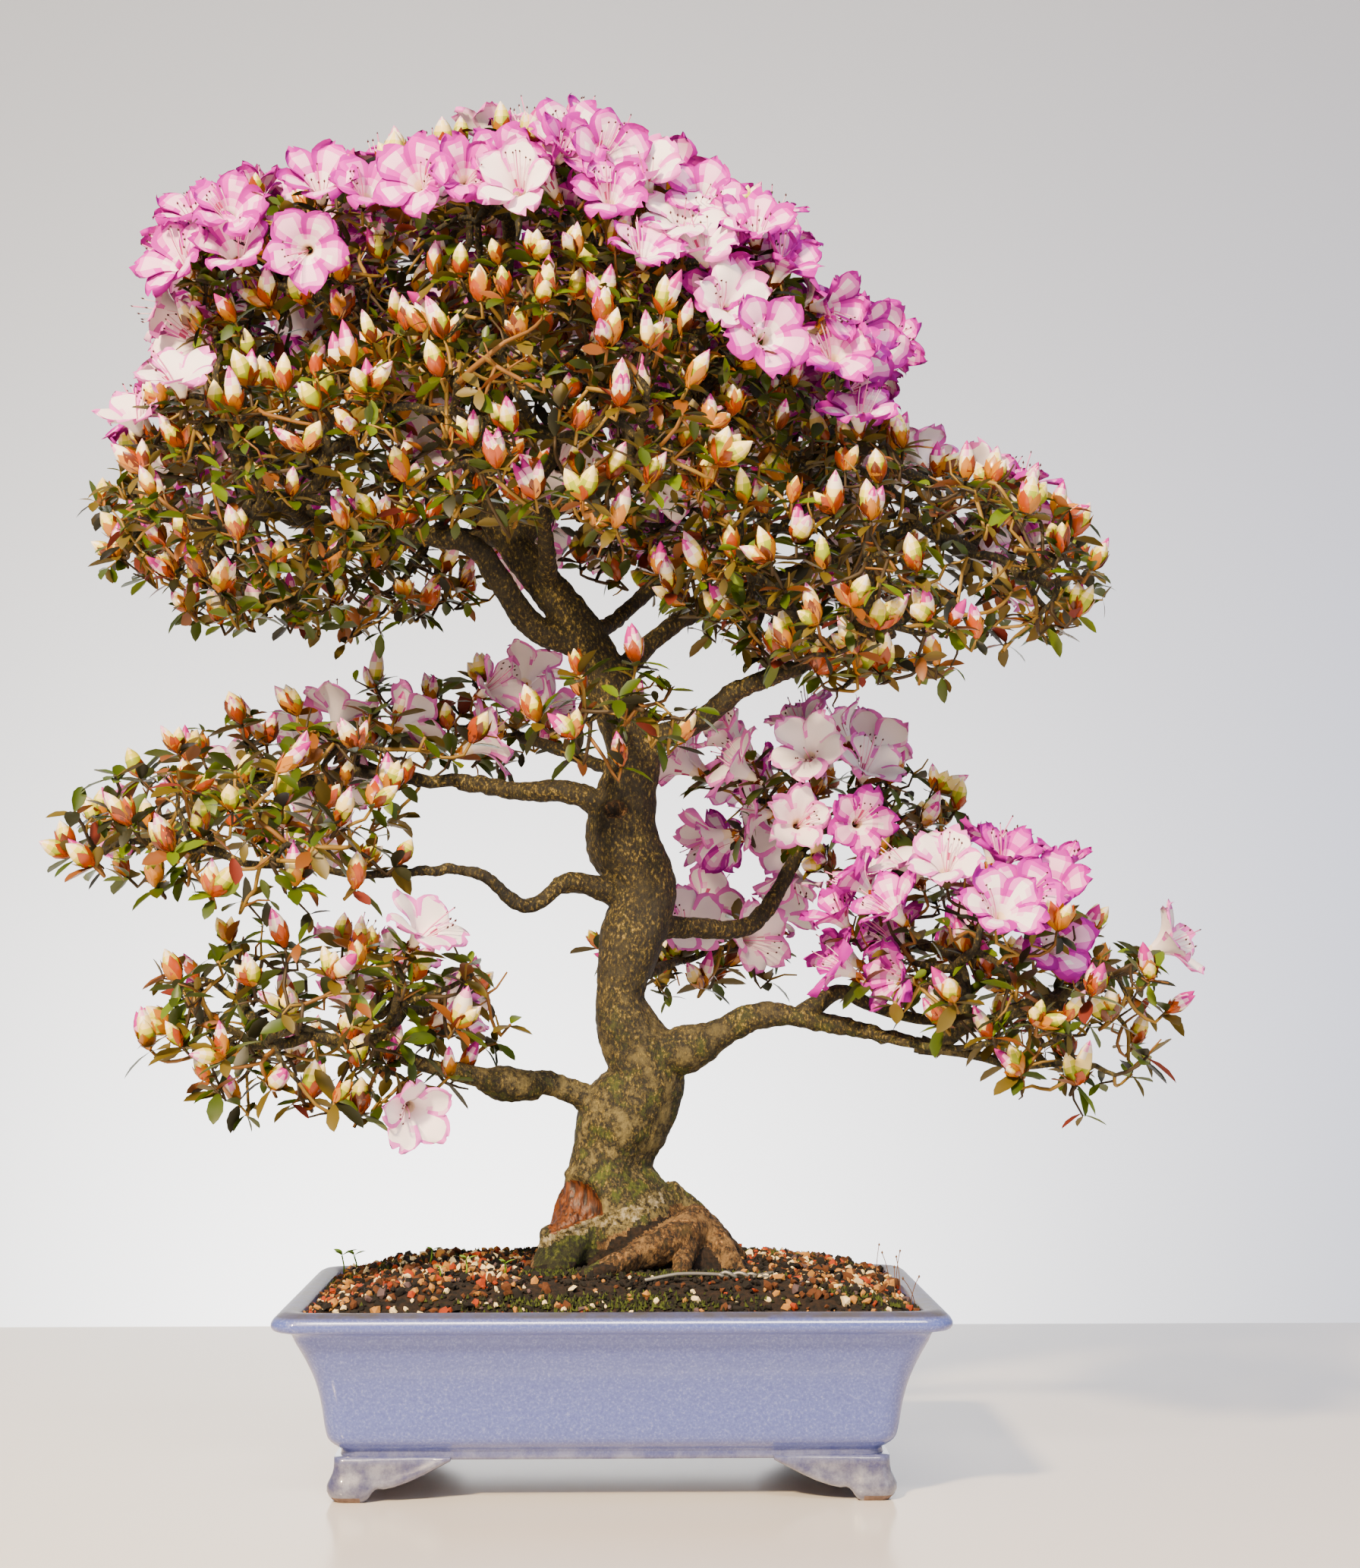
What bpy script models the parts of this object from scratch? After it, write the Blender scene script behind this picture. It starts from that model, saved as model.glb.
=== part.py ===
"""An azalea bonsai in a glazed pot: trunk, boughs, masses of foliage, soil, pot and feet.

Sizes are in millimetres and become metres as each mesh is made. +Z is up and -Y is the front.
The tree is laid out from the middle of the pot, on the surface that the feet stand on.
"""

import math
import random
from collections import namedtuple

import bmesh
import bpy
import numpy as np

MM = 0.001
# The middle of the pot, seen from the middle of the whole tree's box
POT_PLACE = (-9.0, -11.7, 0.0)
# Room between a piece and what carries it, and how far a bough is cut back from the trunk
SEAT = 0.35
TRUNK_ROOM = 0.45
# Room that leaves and twigs keep from limbs, and that a core keeps
LIMB_ROOM = 1.5
CORE_ROOM = 9.0
# Points closer than this count as one
WELD = 0.0002
# Share of a mass's half size that stays free along the border with a neighbour
BORDER = 0.035
# How far organs may stand out of a mass's outline, as a share of its half size
OUTER_LIMIT = 1.16

# Pot: outer size at the lip, wall, floor and feet
POT_LENGTH = 376.0
POT_DEPTH = 262.0
POT_TOP = 107.0
POT_CORNER = 15.0
POT_UNDERSIDE = 22.5
POT_FLOOR = 36.0
FOOT_ARM = 62.0
FOOT_TOE = 20.0
FOOT_THICK = 15.0
FOOT_INSET = 33.0

# Soil: a mound that is flat under the trunk
GROUND = 120.0
SOIL_EDGE = 103.0
MOUND_HALF = (102.0, 82.0)

# Trunk: x, y, height and radius at its bends, swellings and waists
TRUNK = [
    (12, 0, 112, 38),
    (9, 0, 136, 36),
    (4, 0, 153, 31),
    (-3, 1, 172, 25.5),
    (-1, 2, 187, 24.5),
    (5, 2, 206, 28),
    (19, 0, 232, 22.5),
    (7, -3, 264, 18),
    (4, -4, 281, 14.6),
    (11, -2, 314, 19.2),
    (20, 2, 345, 18.4),
    (6, 4, 373, 22.2),
    (8, 2, 398, 17.8),
    (12, -2, 424, 15.6),
    (0, -4, 458, 14.2),
    (-17, -2, 495, 12.6),
    (-46, 2, 533, 11),
    (-75, 4, 574, 9.4),
    (-84, 3, 612, 8.2),
    (-76, 0, 655, 6.6),
    (-68, 0, 692, 5.2),
]
TRUNK_SIDES = 11
TRUNK_STEP = 22.0
# Surface roots: compass angle in degrees, reach from the middle of the trunk and thickness
ROOTS = [
    (-155, 66, 11),
    (-112, 80, 10),
    (-70, 68, 10),
    (-30, 84, 11.5),
    (14, 84, 10),
    (66, 72, 11),
    (120, 74, 11),
    (172, 62, 13),
]
# A root's share of its reach, of its top height, of its swing and of its thickness at each bend
ROOT_SHAPE = ((0.2, 1, 0, 1.25), (0.5, 0.52, 0.2, 1.2), (0.75, 0.14, 0.7, 0.95), (1, -0.12, 1, 0.5))
ROOT_TOP = 40.0
ROOT_SIDES = 6
ROOT_TWIST = 16.0

Bough = namedtuple("Bough", "thick thin sides path")
# Thickness at the trunk and at the tip, sides, and the points that each limb bends through
BOUGHS = {
    "bough_low_left": Bough(9.5, 5.6, 7, [(5, -3, 205), (-34, -12, 227), (-61, -22, 229), (-95, -33, 236)]),
    "bough_low_right": Bough(
        13.5, 6.5, 8, [(14, 0, 240), (51, -8, 251), (87, -16, 268), (125, -22, 264), (185, -28, 250)]
    ),
    "bough_left_mid": Bough(8.2, 5.0, 7, [(8, 2, 384), (-23, 0, 401), (-57, 8, 403), (-95, 18, 410)]),
    "bough_left_thin": Bough(
        5.0, 2.8, 6, [(6, -4, 338), (-26, -18, 347), (-52, -32, 332), (-83, -46, 352), (-136, -64, 350)]
    ),
    "bough_right_mid": Bough(8.0, 4.4, 6, [(16, 2, 322), (45, 18, 321), (86, 44, 324), (118, 66, 370)]),
    "bough_upper_right": Bough(
        8.5, 5.2, 7, [(12, -2, 428), (50, -16, 443), (74, -24, 461), (108, -35, 473)]
    ),
    "bough_right_high": Bough(6.8, 4.2, 6, [(-4, -3, 466), (36, 12, 505), (85, 14, 528), (150, 4, 553)]),
    "bough_fork_left": Bough(
        9.0, 5.6, 7, [(-14, -2, 490), (-48, -10, 501), (-68, -20, 527), (-88, -25, 549), (-127, -20, 554)]
    ),
    "bough_left_top": Bough(5.8, 3.8, 6, [(-84, 3, 606), (-108, 2, 632), (-142, -2, 655), (-165, -5, 686)]),
    "bough_right_top": Bough(6.8, 4.2, 6, [(-62, 3, 555), (-12, 6, 594), (32, 3, 624), (66, -4, 660)]),
    "bough_front_up": Bough(6.2, 4.2, 6, [(-42, 1, 528), (-40, -26, 542), (-44, -52, 572)]),
    "bough_back_up": Bough(5.4, 3.8, 6, [(-82, 2, 628), (-84, 34, 644), (-76, 78, 668)]),
    "bough_back_left": Bough(6.0, 4.0, 6, [(-64, 3, 556), (-84, 40, 563), (-112, 84, 576)]),
    "bough_back_right": Bough(6.4, 4.0, 6, [(-18, -2, 497), (2, 36, 512), (42, 82, 556)]),
    "bough_back_high": Bough(5.0, 3.4, 6, [(11, 0, 412), (-6, 34, 420), (-60, 85, 444)]),
    "bough_back_low": Bough(5.2, 3.4, 6, [(5, -3, 289), (16, 40, 291), (36, 92, 299)]),
    "bough_front": Bough(3.6, 2.6, 6, [(9, -2, 430), (6, -28, 434), (3, -45, 438)]),
}
# How much thicker a bough is at its collar, and the collar's share of its length
COLLAR = 0.3
COLLAR_RUN = 0.12
BOUGH_STEP = 25.0

Mass = namedtuple("Mass", "limb centre half tilt tips bloom dense seed")
# Carrying limb, middle, half sizes, tilt in degrees, shoots, share in bloom, dense or open, seed
MASSES = {
    "foliage_apex_left": Mass("bough_left_top", (-199, -5, 724), (80, 105, 58), 0, 12, 0.95, True, 1),
    "foliage_apex_middle": Mass("trunk", (-62, -20, 760), (112, 110, 67), 0, 15, 0.9, True, 1),
    "foliage_apex_right": Mass("bough_right_top", (95, -10, 710), (88, 110, 72), -22, 13, 0.7, True, 1),
    "foliage_apex_back": Mass("bough_back_up", (-70, 126, 698), (125, 88, 85), 0, 13, 0.75, True, 1),
    "foliage_crown_left": Mass("bough_fork_left", (-217, -20, 583), (110, 130, 84), 0, 15, 0.3, True, 1),
    "foliage_crown_front": Mass("bough_front_up", (-32, -110, 628), (122, 90, 84), 0, 15, 0.15, True, 1),
    "foliage_crown_right": Mass("bough_right_high", (212, -10, 566), (116, 120, 60), -24, 14, 0.35, True, 1),
    "foliage_crown_right_low": Mass(
        "bough_upper_right", (130, -60, 525), (115, 100, 60), -8, 13, 0.1, True, 1
    ),
    "foliage_crown_back_left": Mass("bough_back_left", (-165, 130, 600), (115, 88, 85), 0, 13, 0.4, True, 1),
    "foliage_crown_back_right": Mass(
        "bough_back_right", (95, 130, 600), (130, 90, 85), 0, 14, 0.4, True, 1
    ),
    "foliage_left_upper": Mass("bough_left_mid", (-200, 25, 420), (142, 95, 48), 10, 12, 0.15, False, 1),
    "foliage_left_lower": Mass("bough_left_thin", (-218, -82, 382), (118, 62, 48), -3, 10, 0.0, False, 1),
    "foliage_low_left": Mass("bough_low_left", (-168, -45, 275), (130, 110, 64), 0, 14, 0.08, False, 2),
    "foliage_right_back": Mass("bough_right_mid", (146, 92, 408), (106, 84, 52), -12, 11, 0.7, False, 1),
    "foliage_low_right": Mass("bough_low_right", (238, -30, 298), (120, 110, 71), -22, 14, 0.5, False, 1),
    "foliage_back_high": Mass("bough_back_high", (-105, 118, 464), (85, 75, 42), 0, 8, 0.7, False, 1),
    "foliage_back_low": Mass("bough_back_low", (45, 142, 316), (80, 72, 38), 0, 8, 0.6, False, 1),
    "foliage_front": Mass("bough_front", (0, -80, 452), (62, 42, 42), 0, 6, 0.0, False, 1),
}
CROWN_MIDDLE = (-20, 20, 600)

# Shoots and what they carry. Organs are fewer and larger than life, so that the crown isn't thin
ORGAN_ROOM = 27.0
TWIG_THIN = 1.7
TWIG_GROWTH = 0.42
TWIG_LEAD = 0.42
LEAF_LENGTH = 35.0
LEAF_WIDTH = 15.0
LEAF_THICK = 1.6
LEAF_FIRST = 5.0
LEAF_STEP = 4.0
BUD_LENGTH = 30.0
BUD_WIDTH = 13.0
BLOOM_WIDTH = 57.0
BLOOM_DEPTH = 30.0
ROOT_SUNK = 2.2
# Room round the outer end of each kind of organ
END_ROOM = {"bloom": 42, "bud": 14, "leaf": 10}
# A core's share of the reach on its open side, and on a side within reach of a neighbour
CORE_SHARE = 0.58
CORE_INWARD = 0.9
CORE_NEAR = 1.15
CORE_LUMPS = 0.3
TRIES = 12
CANDIDATES = 24
# Share of a joined mass's faces that stay once the slivers where pieces meet are thinned out
FACES_KEPT = (0.46, 0.48, 0.51, 0.55, 0.6, 0.65)
TRUNK_FACES_KEPT = (0.75, 0.8, 1)
CORE_FACES_KEPT = (0.4, 0.5, 1)

COLOURS = {
    "glaze": ("#A9B4CF", 0.28),
    "soil": ("#4A382B", 0.95),
    "bark": ("#6B5A36", 0.85),
    "twig": ("#5A4430", 0.85),
    "leaf": ("#5E8A2A", 0.5),
    "shade": ("#3E5222", 0.7),
    "bud": ("#E0B878", 0.55),
    "bloom": ("#EFA6DE", 0.6),
}


def clear_scene():
    for old in list(bpy.data.objects):
        bpy.data.objects.remove(old, do_unlink=True)


def linear(code):
    """An sRGB hex colour as linear numbers."""
    channels = [int(code[i : i + 2], 16) / 255 for i in (1, 3, 5)]
    return [c / 12.92 if c <= 0.04045 else ((c + 0.055) / 1.055) ** 2.4 for c in channels]


def make_material(name):
    code, roughness = COLOURS[name]
    material = bpy.data.materials.new(name)
    material.use_nodes = True
    shader = material.node_tree.nodes["Principled BSDF"]
    shader.inputs["Base Color"].default_value = (*linear(code), 1)
    shader.inputs["Roughness"].default_value = roughness
    shader.inputs["Metallic"].default_value = 0
    return material


def add_object(name, verts, faces, material, root):
    """A closed mesh as an object under the root, with its faces turned outwards."""
    mesh = bpy.data.meshes.new(name)
    mesh.from_pydata([tuple(float(c) * MM for c in v) for v in verts], [], faces)
    shape = bmesh.new()
    shape.from_mesh(mesh)
    bmesh.ops.recalc_face_normals(shape, faces=shape.faces)
    shape.to_mesh(mesh)
    shape.free()
    mesh.materials.append(material)
    obj = bpy.data.objects.new(name, mesh)
    bpy.context.scene.collection.objects.link(obj)
    obj.parent = root
    return obj


def loft(rings):
    """One closed skin over rings of equal length, with a flat cap at each end."""
    count = len(rings[0])
    verts = [point for ring in rings for point in ring]
    faces = []
    for k in range(len(rings) - 1):
        for i in range(count):
            j = (i + 1) % count
            faces.append((k * count + i, k * count + j, (k + 1) * count + j, (k + 1) * count + i))
    faces.append(tuple(reversed(range(count))))
    faces.append(tuple(range((len(rings) - 1) * count, len(rings) * count)))
    return verts, faces


def unit(vector):
    return np.asarray(vector, float) / max(np.linalg.norm(vector), 1e-9)


def smooth_path(stations, step):
    """Points on a Catmull-Rom curve through the stations, about a step apart."""
    points = np.array(stations, float)
    first = 2 * points[0] - points[1]
    last = 2 * points[-1] - points[-2]
    points = np.vstack([first, points, last])
    out = []
    for i in range(1, len(points) - 2):
        a, b, c, d = points[i - 1 : i + 3]
        pieces = max(1, round(np.linalg.norm((c - b)[:3]) / step))
        for t in np.arange(pieces) / pieces:
            bend = (2 * a - 5 * b + 4 * c - d) * t**2 + (3 * b - a - 3 * c + d) * t**3
            out.append(b + 0.5 * ((c - a) * t + bend))
    out.append(points[-2])
    return np.array(out)


def frames(path, level_start):
    """The two cross directions at each point of a path, carried along it without twist."""
    steps = np.gradient(path, axis=0)
    across = np.array([1.0, 0.0, 0.0]) if level_start else unit(np.cross(steps[0], (0.13, 0.21, 0.97)))
    out = []
    for k, step in enumerate(steps):
        ahead = np.array([0.0, 0.0, 1.0]) if level_start and k == 0 else unit(step)
        across = unit(across - ahead * (across @ ahead))
        out.append((across, np.cross(ahead, across)))
    return out


def tube(path, radii, sides, level_start=False):
    """Rings round a path. A radius may be one number or one for each side."""
    rings = []
    for point, radius, (a, b) in zip(path, radii, frames(path, level_start)):
        angles = np.arange(sides)[:, None] * 2 * math.pi / sides
        around = a * np.cos(angles) + b * np.sin(angles)
        rings.append(list(point + around * np.reshape(radius, (-1, 1))))
    return rings


def trunk_rings(extra):
    """The trunk's rings; extra is added to each radius."""
    stations = smooth_path(TRUNK, TRUNK_STEP)
    return tube(stations[:, :3], stations[:, 3] + extra, TRUNK_SIDES, level_start=True)


def root_stations(compass, reach, thick):
    """A surface root from the foot of the trunk out and down into the ground, swinging a little."""
    out = []
    for share, height, swing, size in ROOT_SHAPE:
        angle = math.radians(compass + ROOT_TWIST * swing)
        x = TRUNK[0][0] + reach * share * math.cos(angle)
        y = TRUNK[0][1] + reach * share * math.sin(angle)
        out.append((x, y, GROUND + ROOT_TOP * height, thick * size))
    return smooth_path(out, 16)


def make_trunk(material, root):
    """The trunk with its surface roots fused on, cut flat at the ground."""
    pieces = [add_object("trunk", *loft(trunk_rings(0)), material, root)]
    for k, (compass, reach, thick) in enumerate(ROOTS):
        path = root_stations(compass, reach, thick)
        rings = tube(path[:, :3], path[:, 3], ROOT_SIDES)
        pieces.append(add_object(f"root{k}", *loft(rings), material, root))
    fuse(pieces, "EXACT")
    thin_out(pieces[0], TRUNK_FACES_KEPT)
    shape = bmesh.new()
    shape.from_mesh(pieces[0].data)
    whole = shape.verts[:] + shape.edges[:] + shape.faces[:]
    ground = (0, 0, GROUND * MM)
    bmesh.ops.bisect_plane(shape, geom=whole, plane_co=ground, plane_no=(0, 0, 1), clear_inner=True)
    rim = [edge for edge in shape.edges if edge.is_boundary]
    bmesh.ops.contextual_create(shape, geom=rim)
    shape.to_mesh(pieces[0].data)
    shape.free()
    keep_one_body(pieces[0])


def bough_stations(bough):
    """A bough's middle line and radius, thicker at the collar where it leaves the trunk."""
    path = smooth_path(bough.path, BOUGH_STEP)
    along = np.linspace(0, 1, len(path))
    radii = bough.thick + (bough.thin - bough.thick) * along**0.75
    radii *= 1 + COLLAR * np.exp(-((along / COLLAR_RUN) ** 2))
    return path, radii


def make_bough(name, bough, cutter, material, root):
    """One tapering limb, cut to sit on the trunk's bark."""
    path, radii = bough_stations(bough)
    limb = add_object(name, *loft(tube(path, radii, bough.sides)), material, root)
    cut = limb.modifiers.new("seat on the trunk", "BOOLEAN")
    cut.operation = "DIFFERENCE"
    cut.object = cutter
    apply_modifiers(limb)
    keep_one_body(limb)
    return limb


def apply_modifiers(obj):
    bpy.context.view_layer.update()
    shape = obj.evaluated_get(bpy.context.evaluated_depsgraph_get())
    mesh = bpy.data.meshes.new_from_object(shape)
    obj.modifiers.clear()
    old, obj.data = obj.data, mesh
    bpy.data.meshes.remove(old)


def islands(shape):
    """The faces of a mesh in sets that hang together."""
    left = set(shape.faces)
    while left:
        found = {left.pop()}
        edge = list(found)
        while edge:
            for side in edge.pop().edges:
                for face in side.link_faces:
                    if face in left:
                        left.discard(face)
                        found.add(face)
                        edge.append(face)
        yield found


def volume(faces):
    """Six times the signed volume inside a set of faces."""
    total = 0
    for face in faces:
        a, *rest = [v.co for v in face.verts]
        for b, c in zip(rest, rest[1:]):
            total += a.dot(b.cross(c))
    return total


def doubled_cut(shape, origin):
    """An edge with more than two faces, and the face that was cut along it, if there is one."""
    for edge in shape.edges:
        if len(edge.link_faces) > 2:
            numbers = [face[origin] for face in edge.link_faces]
            for number in numbers:
                if numbers.count(number) == 2:
                    return edge, number
    return None


def triangulate(shape):
    """Cuts faces into triangles; a cut that two faces would share is bent aside in one of them."""
    origin = shape.faces.layers.int.new("origin")
    for number, face in enumerate(shape.faces):
        face[origin] = number
    bmesh.ops.triangulate(shape, faces=shape.faces)
    found = doubled_cut(shape, origin)
    while found:
        edge, number = found
        pair = [face for face in edge.link_faces if face[origin] == number]
        middle = shape.verts.new((edge.verts[0].co + edge.verts[1].co) / 2)
        for face in pair:
            for end in edge.verts:
                half = shape.faces.new([middle if v is end else v for v in face.verts])
                half.material_index = face.material_index
                half[origin] = number
        bmesh.ops.delete(shape, geom=pair, context="FACES_ONLY")
        found = doubled_cut(shape, origin)


def keep_one_body(obj):
    """Drops loose scraps and fills sealed hollows."""
    shape = bmesh.new()
    shape.from_mesh(obj.data)
    triangulate(shape)
    sets = sorted(islands(shape), key=volume, reverse=True)
    loose = [face for part in sets[1:] for face in part]
    bmesh.ops.delete(shape, geom=loose, context="FACES")
    shape.to_mesh(obj.data)
    shape.free()


def is_closed(obj):
    """Whether each edge has two faces, also once points that all but touch are one."""
    shape = bmesh.new()
    shape.from_mesh(obj.data)
    closed = all(len(edge.link_faces) == 2 for edge in shape.edges)
    bmesh.ops.remove_doubles(shape, verts=shape.verts, dist=WELD * MM)
    closed = closed and all(len(edge.link_faces) == 2 for edge in shape.edges)
    shape.free()
    return closed


def leaf(rng):
    """A thin blade of eight faces, along +Z from its root, with its upper side to +X."""
    length = LEAF_LENGTH * rng.uniform(0.85, 1.12)
    middle = length * 0.55
    width = LEAF_WIDTH / 2 * rng.uniform(0.85, 1.1)
    bend = length * 0.07
    half = LEAF_THICK / 2
    verts = [(0, 0, -ROOT_SUNK), (-bend, 0, length)]
    verts += [(0, width, middle), (bend + half, 0, middle), (0, -width, middle), (bend - half, 0, middle)]
    faces = [(0, 2 + i, 2 + (i + 1) % 4) for i in range(4)]
    faces += [(1, 2 + (i + 1) % 4, 2 + i) for i in range(4)]
    return verts, faces


def bud(rng):
    """A pointed five-sided spindle along +Z."""
    length = BUD_LENGTH * rng.uniform(0.85, 1.1)
    width = BUD_WIDTH / 2 * rng.uniform(0.9, 1.1)
    verts = [(0, 0, -ROOT_SUNK), (0, 0, length)]
    for i in range(5):
        angle = i * 2 * math.pi / 5
        verts.append((width * math.cos(angle), width * math.sin(angle), length * 0.42))
    faces = [(0, 2 + i, 2 + (i + 1) % 5) for i in range(5)]
    faces += [(1, 2 + (i + 1) % 5, 2 + i) for i in range(5)]
    return verts, faces


def bloom(rng):
    """An open funnel of five round petals along +Z."""
    size = rng.uniform(0.92, 1.06)
    verts = [(0, 0, -ROOT_SUNK), (0, 0, BLOOM_DEPTH * 0.52 * size)]
    for petal in range(5):
        for turn, reach, lift in ((-36, 0.62, 0.8), (-14, 1, 0.95), (14, 1, 0.95)):
            angle = math.radians(petal * 72 + turn)
            radius = BLOOM_WIDTH / 2 * reach * size
            verts.append((radius * math.cos(angle), radius * math.sin(angle), BLOOM_DEPTH * lift * size))
    faces = [(0, 2 + i, 2 + (i + 1) % 15) for i in range(15)]
    faces += [(1, 2 + (i + 1) % 15, 2 + i) for i in range(15)]
    return verts, faces


def placed(organ, root, ahead, roll):
    """An organ's points with its +Z along ahead and its root at a point."""
    verts, faces = organ
    ahead = unit(ahead)
    side = unit(np.cross(ahead, (0.31, 0.17, 0.93) if abs(ahead[2]) < 0.9 else (1, 0, 0)))
    other = np.cross(ahead, side)
    a = side * math.cos(roll) + other * math.sin(roll)
    b = np.cross(ahead, a)
    points = np.array(verts, float) @ np.array([a, b, ahead]) + root
    return points, faces


def samples(points, faces):
    """A piece's corners with the middles and quarters of its edges."""
    ends = {tuple(sorted((f[i], f[(i + 1) % len(f)]))) for f in faces for i in range(len(f))}
    ends = np.array(sorted(ends))
    a, b = points[ends[:, 0]], points[ends[:, 1]]
    return np.vstack([points, (a + b) / 2, a * 0.75 + b * 0.25, a * 0.25 + b * 0.75])


def depths(points, mass):
    """How far out points lie in a mass's space: 0 in its middle, 1 on its surface."""
    turn = math.radians(mass.tilt)
    offset = np.atleast_2d(points) - np.array(mass.centre, float)
    along = offset[:, 0] * math.cos(turn) + offset[:, 2] * math.sin(turn)
    above = offset[:, 2] * math.cos(turn) - offset[:, 0] * math.sin(turn)
    a, b, c = mass.half
    return np.sqrt((along / a) ** 2 + (offset[:, 1] / b) ** 2 + (above / c) ** 2)


def in_space(points, name):
    """Whether all points lie in a mass's own space, clear of its neighbours' spaces."""
    own = depths(points, MASSES[name])
    if own.max() > OUTER_LIMIT:
        return False
    for other, mass in MASSES.items():
        if other != name:
            theirs = depths(points, mass)
            if ((theirs < OUTER_LIMIT + BORDER) & (own + BORDER > theirs)).any():
                return False
    return True


def limb_samples():
    """Middle points and radii along the trunk and all boughs."""
    trunk = smooth_path(TRUNK, 5)
    rows = [trunk]
    for bough in BOUGHS.values():
        fine = smooth_path(bough.path, 4)
        along = np.linspace(0, 1, len(fine))
        radii = bough.thick * 1.05 + (bough.thin - bough.thick * 1.05) * along**0.75
        rows.append(np.column_stack([fine, radii]))
    return np.vstack(rows)


def off_limbs(points, limbs, room=LIMB_ROOM):
    gaps = np.linalg.norm(points[:, None] - limbs[None, :, :3], axis=2) - limbs[None, :, 3]
    return gaps.min() > room


def free(points, name, limbs, radius=0.0):
    return in_space(points, name) and off_limbs(points, limbs, LIMB_ROOM + radius)


def from_space(name, direction, share):
    """A point at a share of the reach that organs leave, in a direction from the middle."""
    mass = MASSES[name]
    reach = [max(h - ORGAN_ROOM, 0.35 * h) for h in mass.half]
    x, y, z = unit(direction) * reach * share
    turn = math.radians(mass.tilt)
    tilted = np.array([x * math.cos(turn) - z * math.sin(turn), y, x * math.sin(turn) + z * math.cos(turn)])
    return tilted + np.array(mass.centre, float)


def spread_tips(name, count, limbs, rng):
    """Ends of shoots, spread evenly by taking the candidate furthest from those before it.

    Most lie on the top and on the side that faces away from the rest of the crown.
    """
    mass = MASSES[name]
    out = unit(np.array(mass.centre, float) - CROWN_MIDDLE)
    if not mass.dense:
        out = np.array([0, 0, 1.0])
    first = [(0, 0, 1), (1, 0, 0), (-1, 0, 0), (0, -1, 0), (0, 1, 0)]
    tips = []
    while len(tips) < count:
        best, best_gap = None, -1
        for _ in range(CANDIDATES):
            direction = unit([rng.gauss(0, 1) for _ in range(3)])
            share = rng.uniform(0.88 if mass.dense else 0.74, 1)
            if first:
                direction, share = unit(first.pop(0)), 1
            if direction @ out + 0.7 * direction[2] < rng.uniform(-0.75, 0.1):
                continue
            point = from_space(name, direction, share)
            if not free(point[None], name, limbs):
                continue
            gap = min([np.linalg.norm(point - tip[0]) for tip in tips], default=1e3)
            if gap > best_gap:
                best, best_gap = (point, direction, rng.random()), gap
        if best:
            tips.append(best)
    return tips


def halves(group):
    """Splits tips in two across the direction in which they spread most, larger part first."""
    points = np.array([tip[0] for tip in group])
    offset = points - points.mean(0)
    axis = np.linalg.svd(offset, full_matrices=False)[2][0]
    order = np.argsort(offset @ axis)
    cut = max(1, len(group) // 2)
    parts = [[group[i] for i in order[:cut]], [group[i] for i in order[cut:]]]
    return sorted(parts, key=len, reverse=True)


def run_of(a, b, steps=5):
    return a + (b - a) * np.linspace(0.15, 1, steps)[:, None]


def grow(name, start, heading, thick, tips, limbs, rng):
    """Twigs from one stem to all tips: each chain runs from its fork to one tip.

    A chain is a list of points and radii. A twig that would leave the space or touch a
    limb is tried again nearby, and then left out with what it would carry.
    """
    chains = []

    def climb(chain, heading, group):
        while group:
            here, here_radius = chain[-1]
            target = np.mean([tip[0] for tip in group], axis=0)
            if len(group) == 1:
                if free(run_of(here, target), name, limbs, TWIG_THIN):
                    chain.append((target, TWIG_THIN))
                    chains.append((chain, group[0]))
                return
            radius = min(here_radius, TWIG_THIN * len(group) ** TWIG_GROWTH)
            gap = np.linalg.norm(target - here)
            for attempt in range(TRIES):
                joint = here + (target - here) * TWIG_LEAD + unit(heading) * gap * 0.16
                joint = joint + np.array([rng.gauss(0, 1) for _ in range(3)]) * (2 + 2 * attempt)
                if free(run_of(here, joint), name, limbs, radius):
                    break
            else:
                return
            chain.append((joint, radius))
            heading = joint - here
            group, side = halves(group)
            climb([(joint - unit(heading) * radius * 0.5, radius * 0.85)], heading, side)

    stem = start + unit(heading) * thick * 1.6
    climb([(start, thick), (stem, thick * 0.8)], heading, list(tips))
    return chains


def core_points(name, limbs, rng):
    """A dense mass's inner body: an uneven lump pulled in wherever it would leave the space."""
    mass = MASSES[name]
    shape = bmesh.new()
    bmesh.ops.create_icosphere(shape, subdivisions=2, radius=1)
    directions = [np.array(v.co) for v in shape.verts]
    faces = [tuple(v.index for v in f.verts) for f in shape.faces]
    shape.free()
    middle = np.array(mass.centre, float)
    others = [other for key, other in MASSES.items() if other.dense and key != name]
    reach = []
    for direction in directions:
        far = 0.1
        rim = middle + direction * np.array(mass.half)
        inward = min(depths(rim, other)[0] for other in others) < CORE_NEAR
        aim = (CORE_INWARD if inward else CORE_SHARE) * (1 + rng.uniform(-CORE_LUMPS, CORE_LUMPS))
        while far < aim:
            point = middle + direction * np.array(mass.half) * (far + 0.04)
            if not (in_space(point[None], name) and off_limbs(point[None], limbs, CORE_ROOM)):
                break
            far += 0.04
        reach.append(far)
    edges = [(f[i], f[(i + 1) % 3]) for f in faces for i in range(3)]
    for _ in range(3):
        for a, b in edges:
            reach[a] = min(reach[a], reach[b] + 0.2)
    points = np.array([middle + d * np.array(mass.half) * far for d, far in zip(directions, reach)])
    return points, faces


def back_along(chain, distance):
    """A point on a twig's middle line at a distance short of its tip."""
    tip, before = chain[-1][0], chain[-2][0]
    return tip + unit(before - tip) * min(distance, 0.6 * np.linalg.norm(before - tip))


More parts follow.
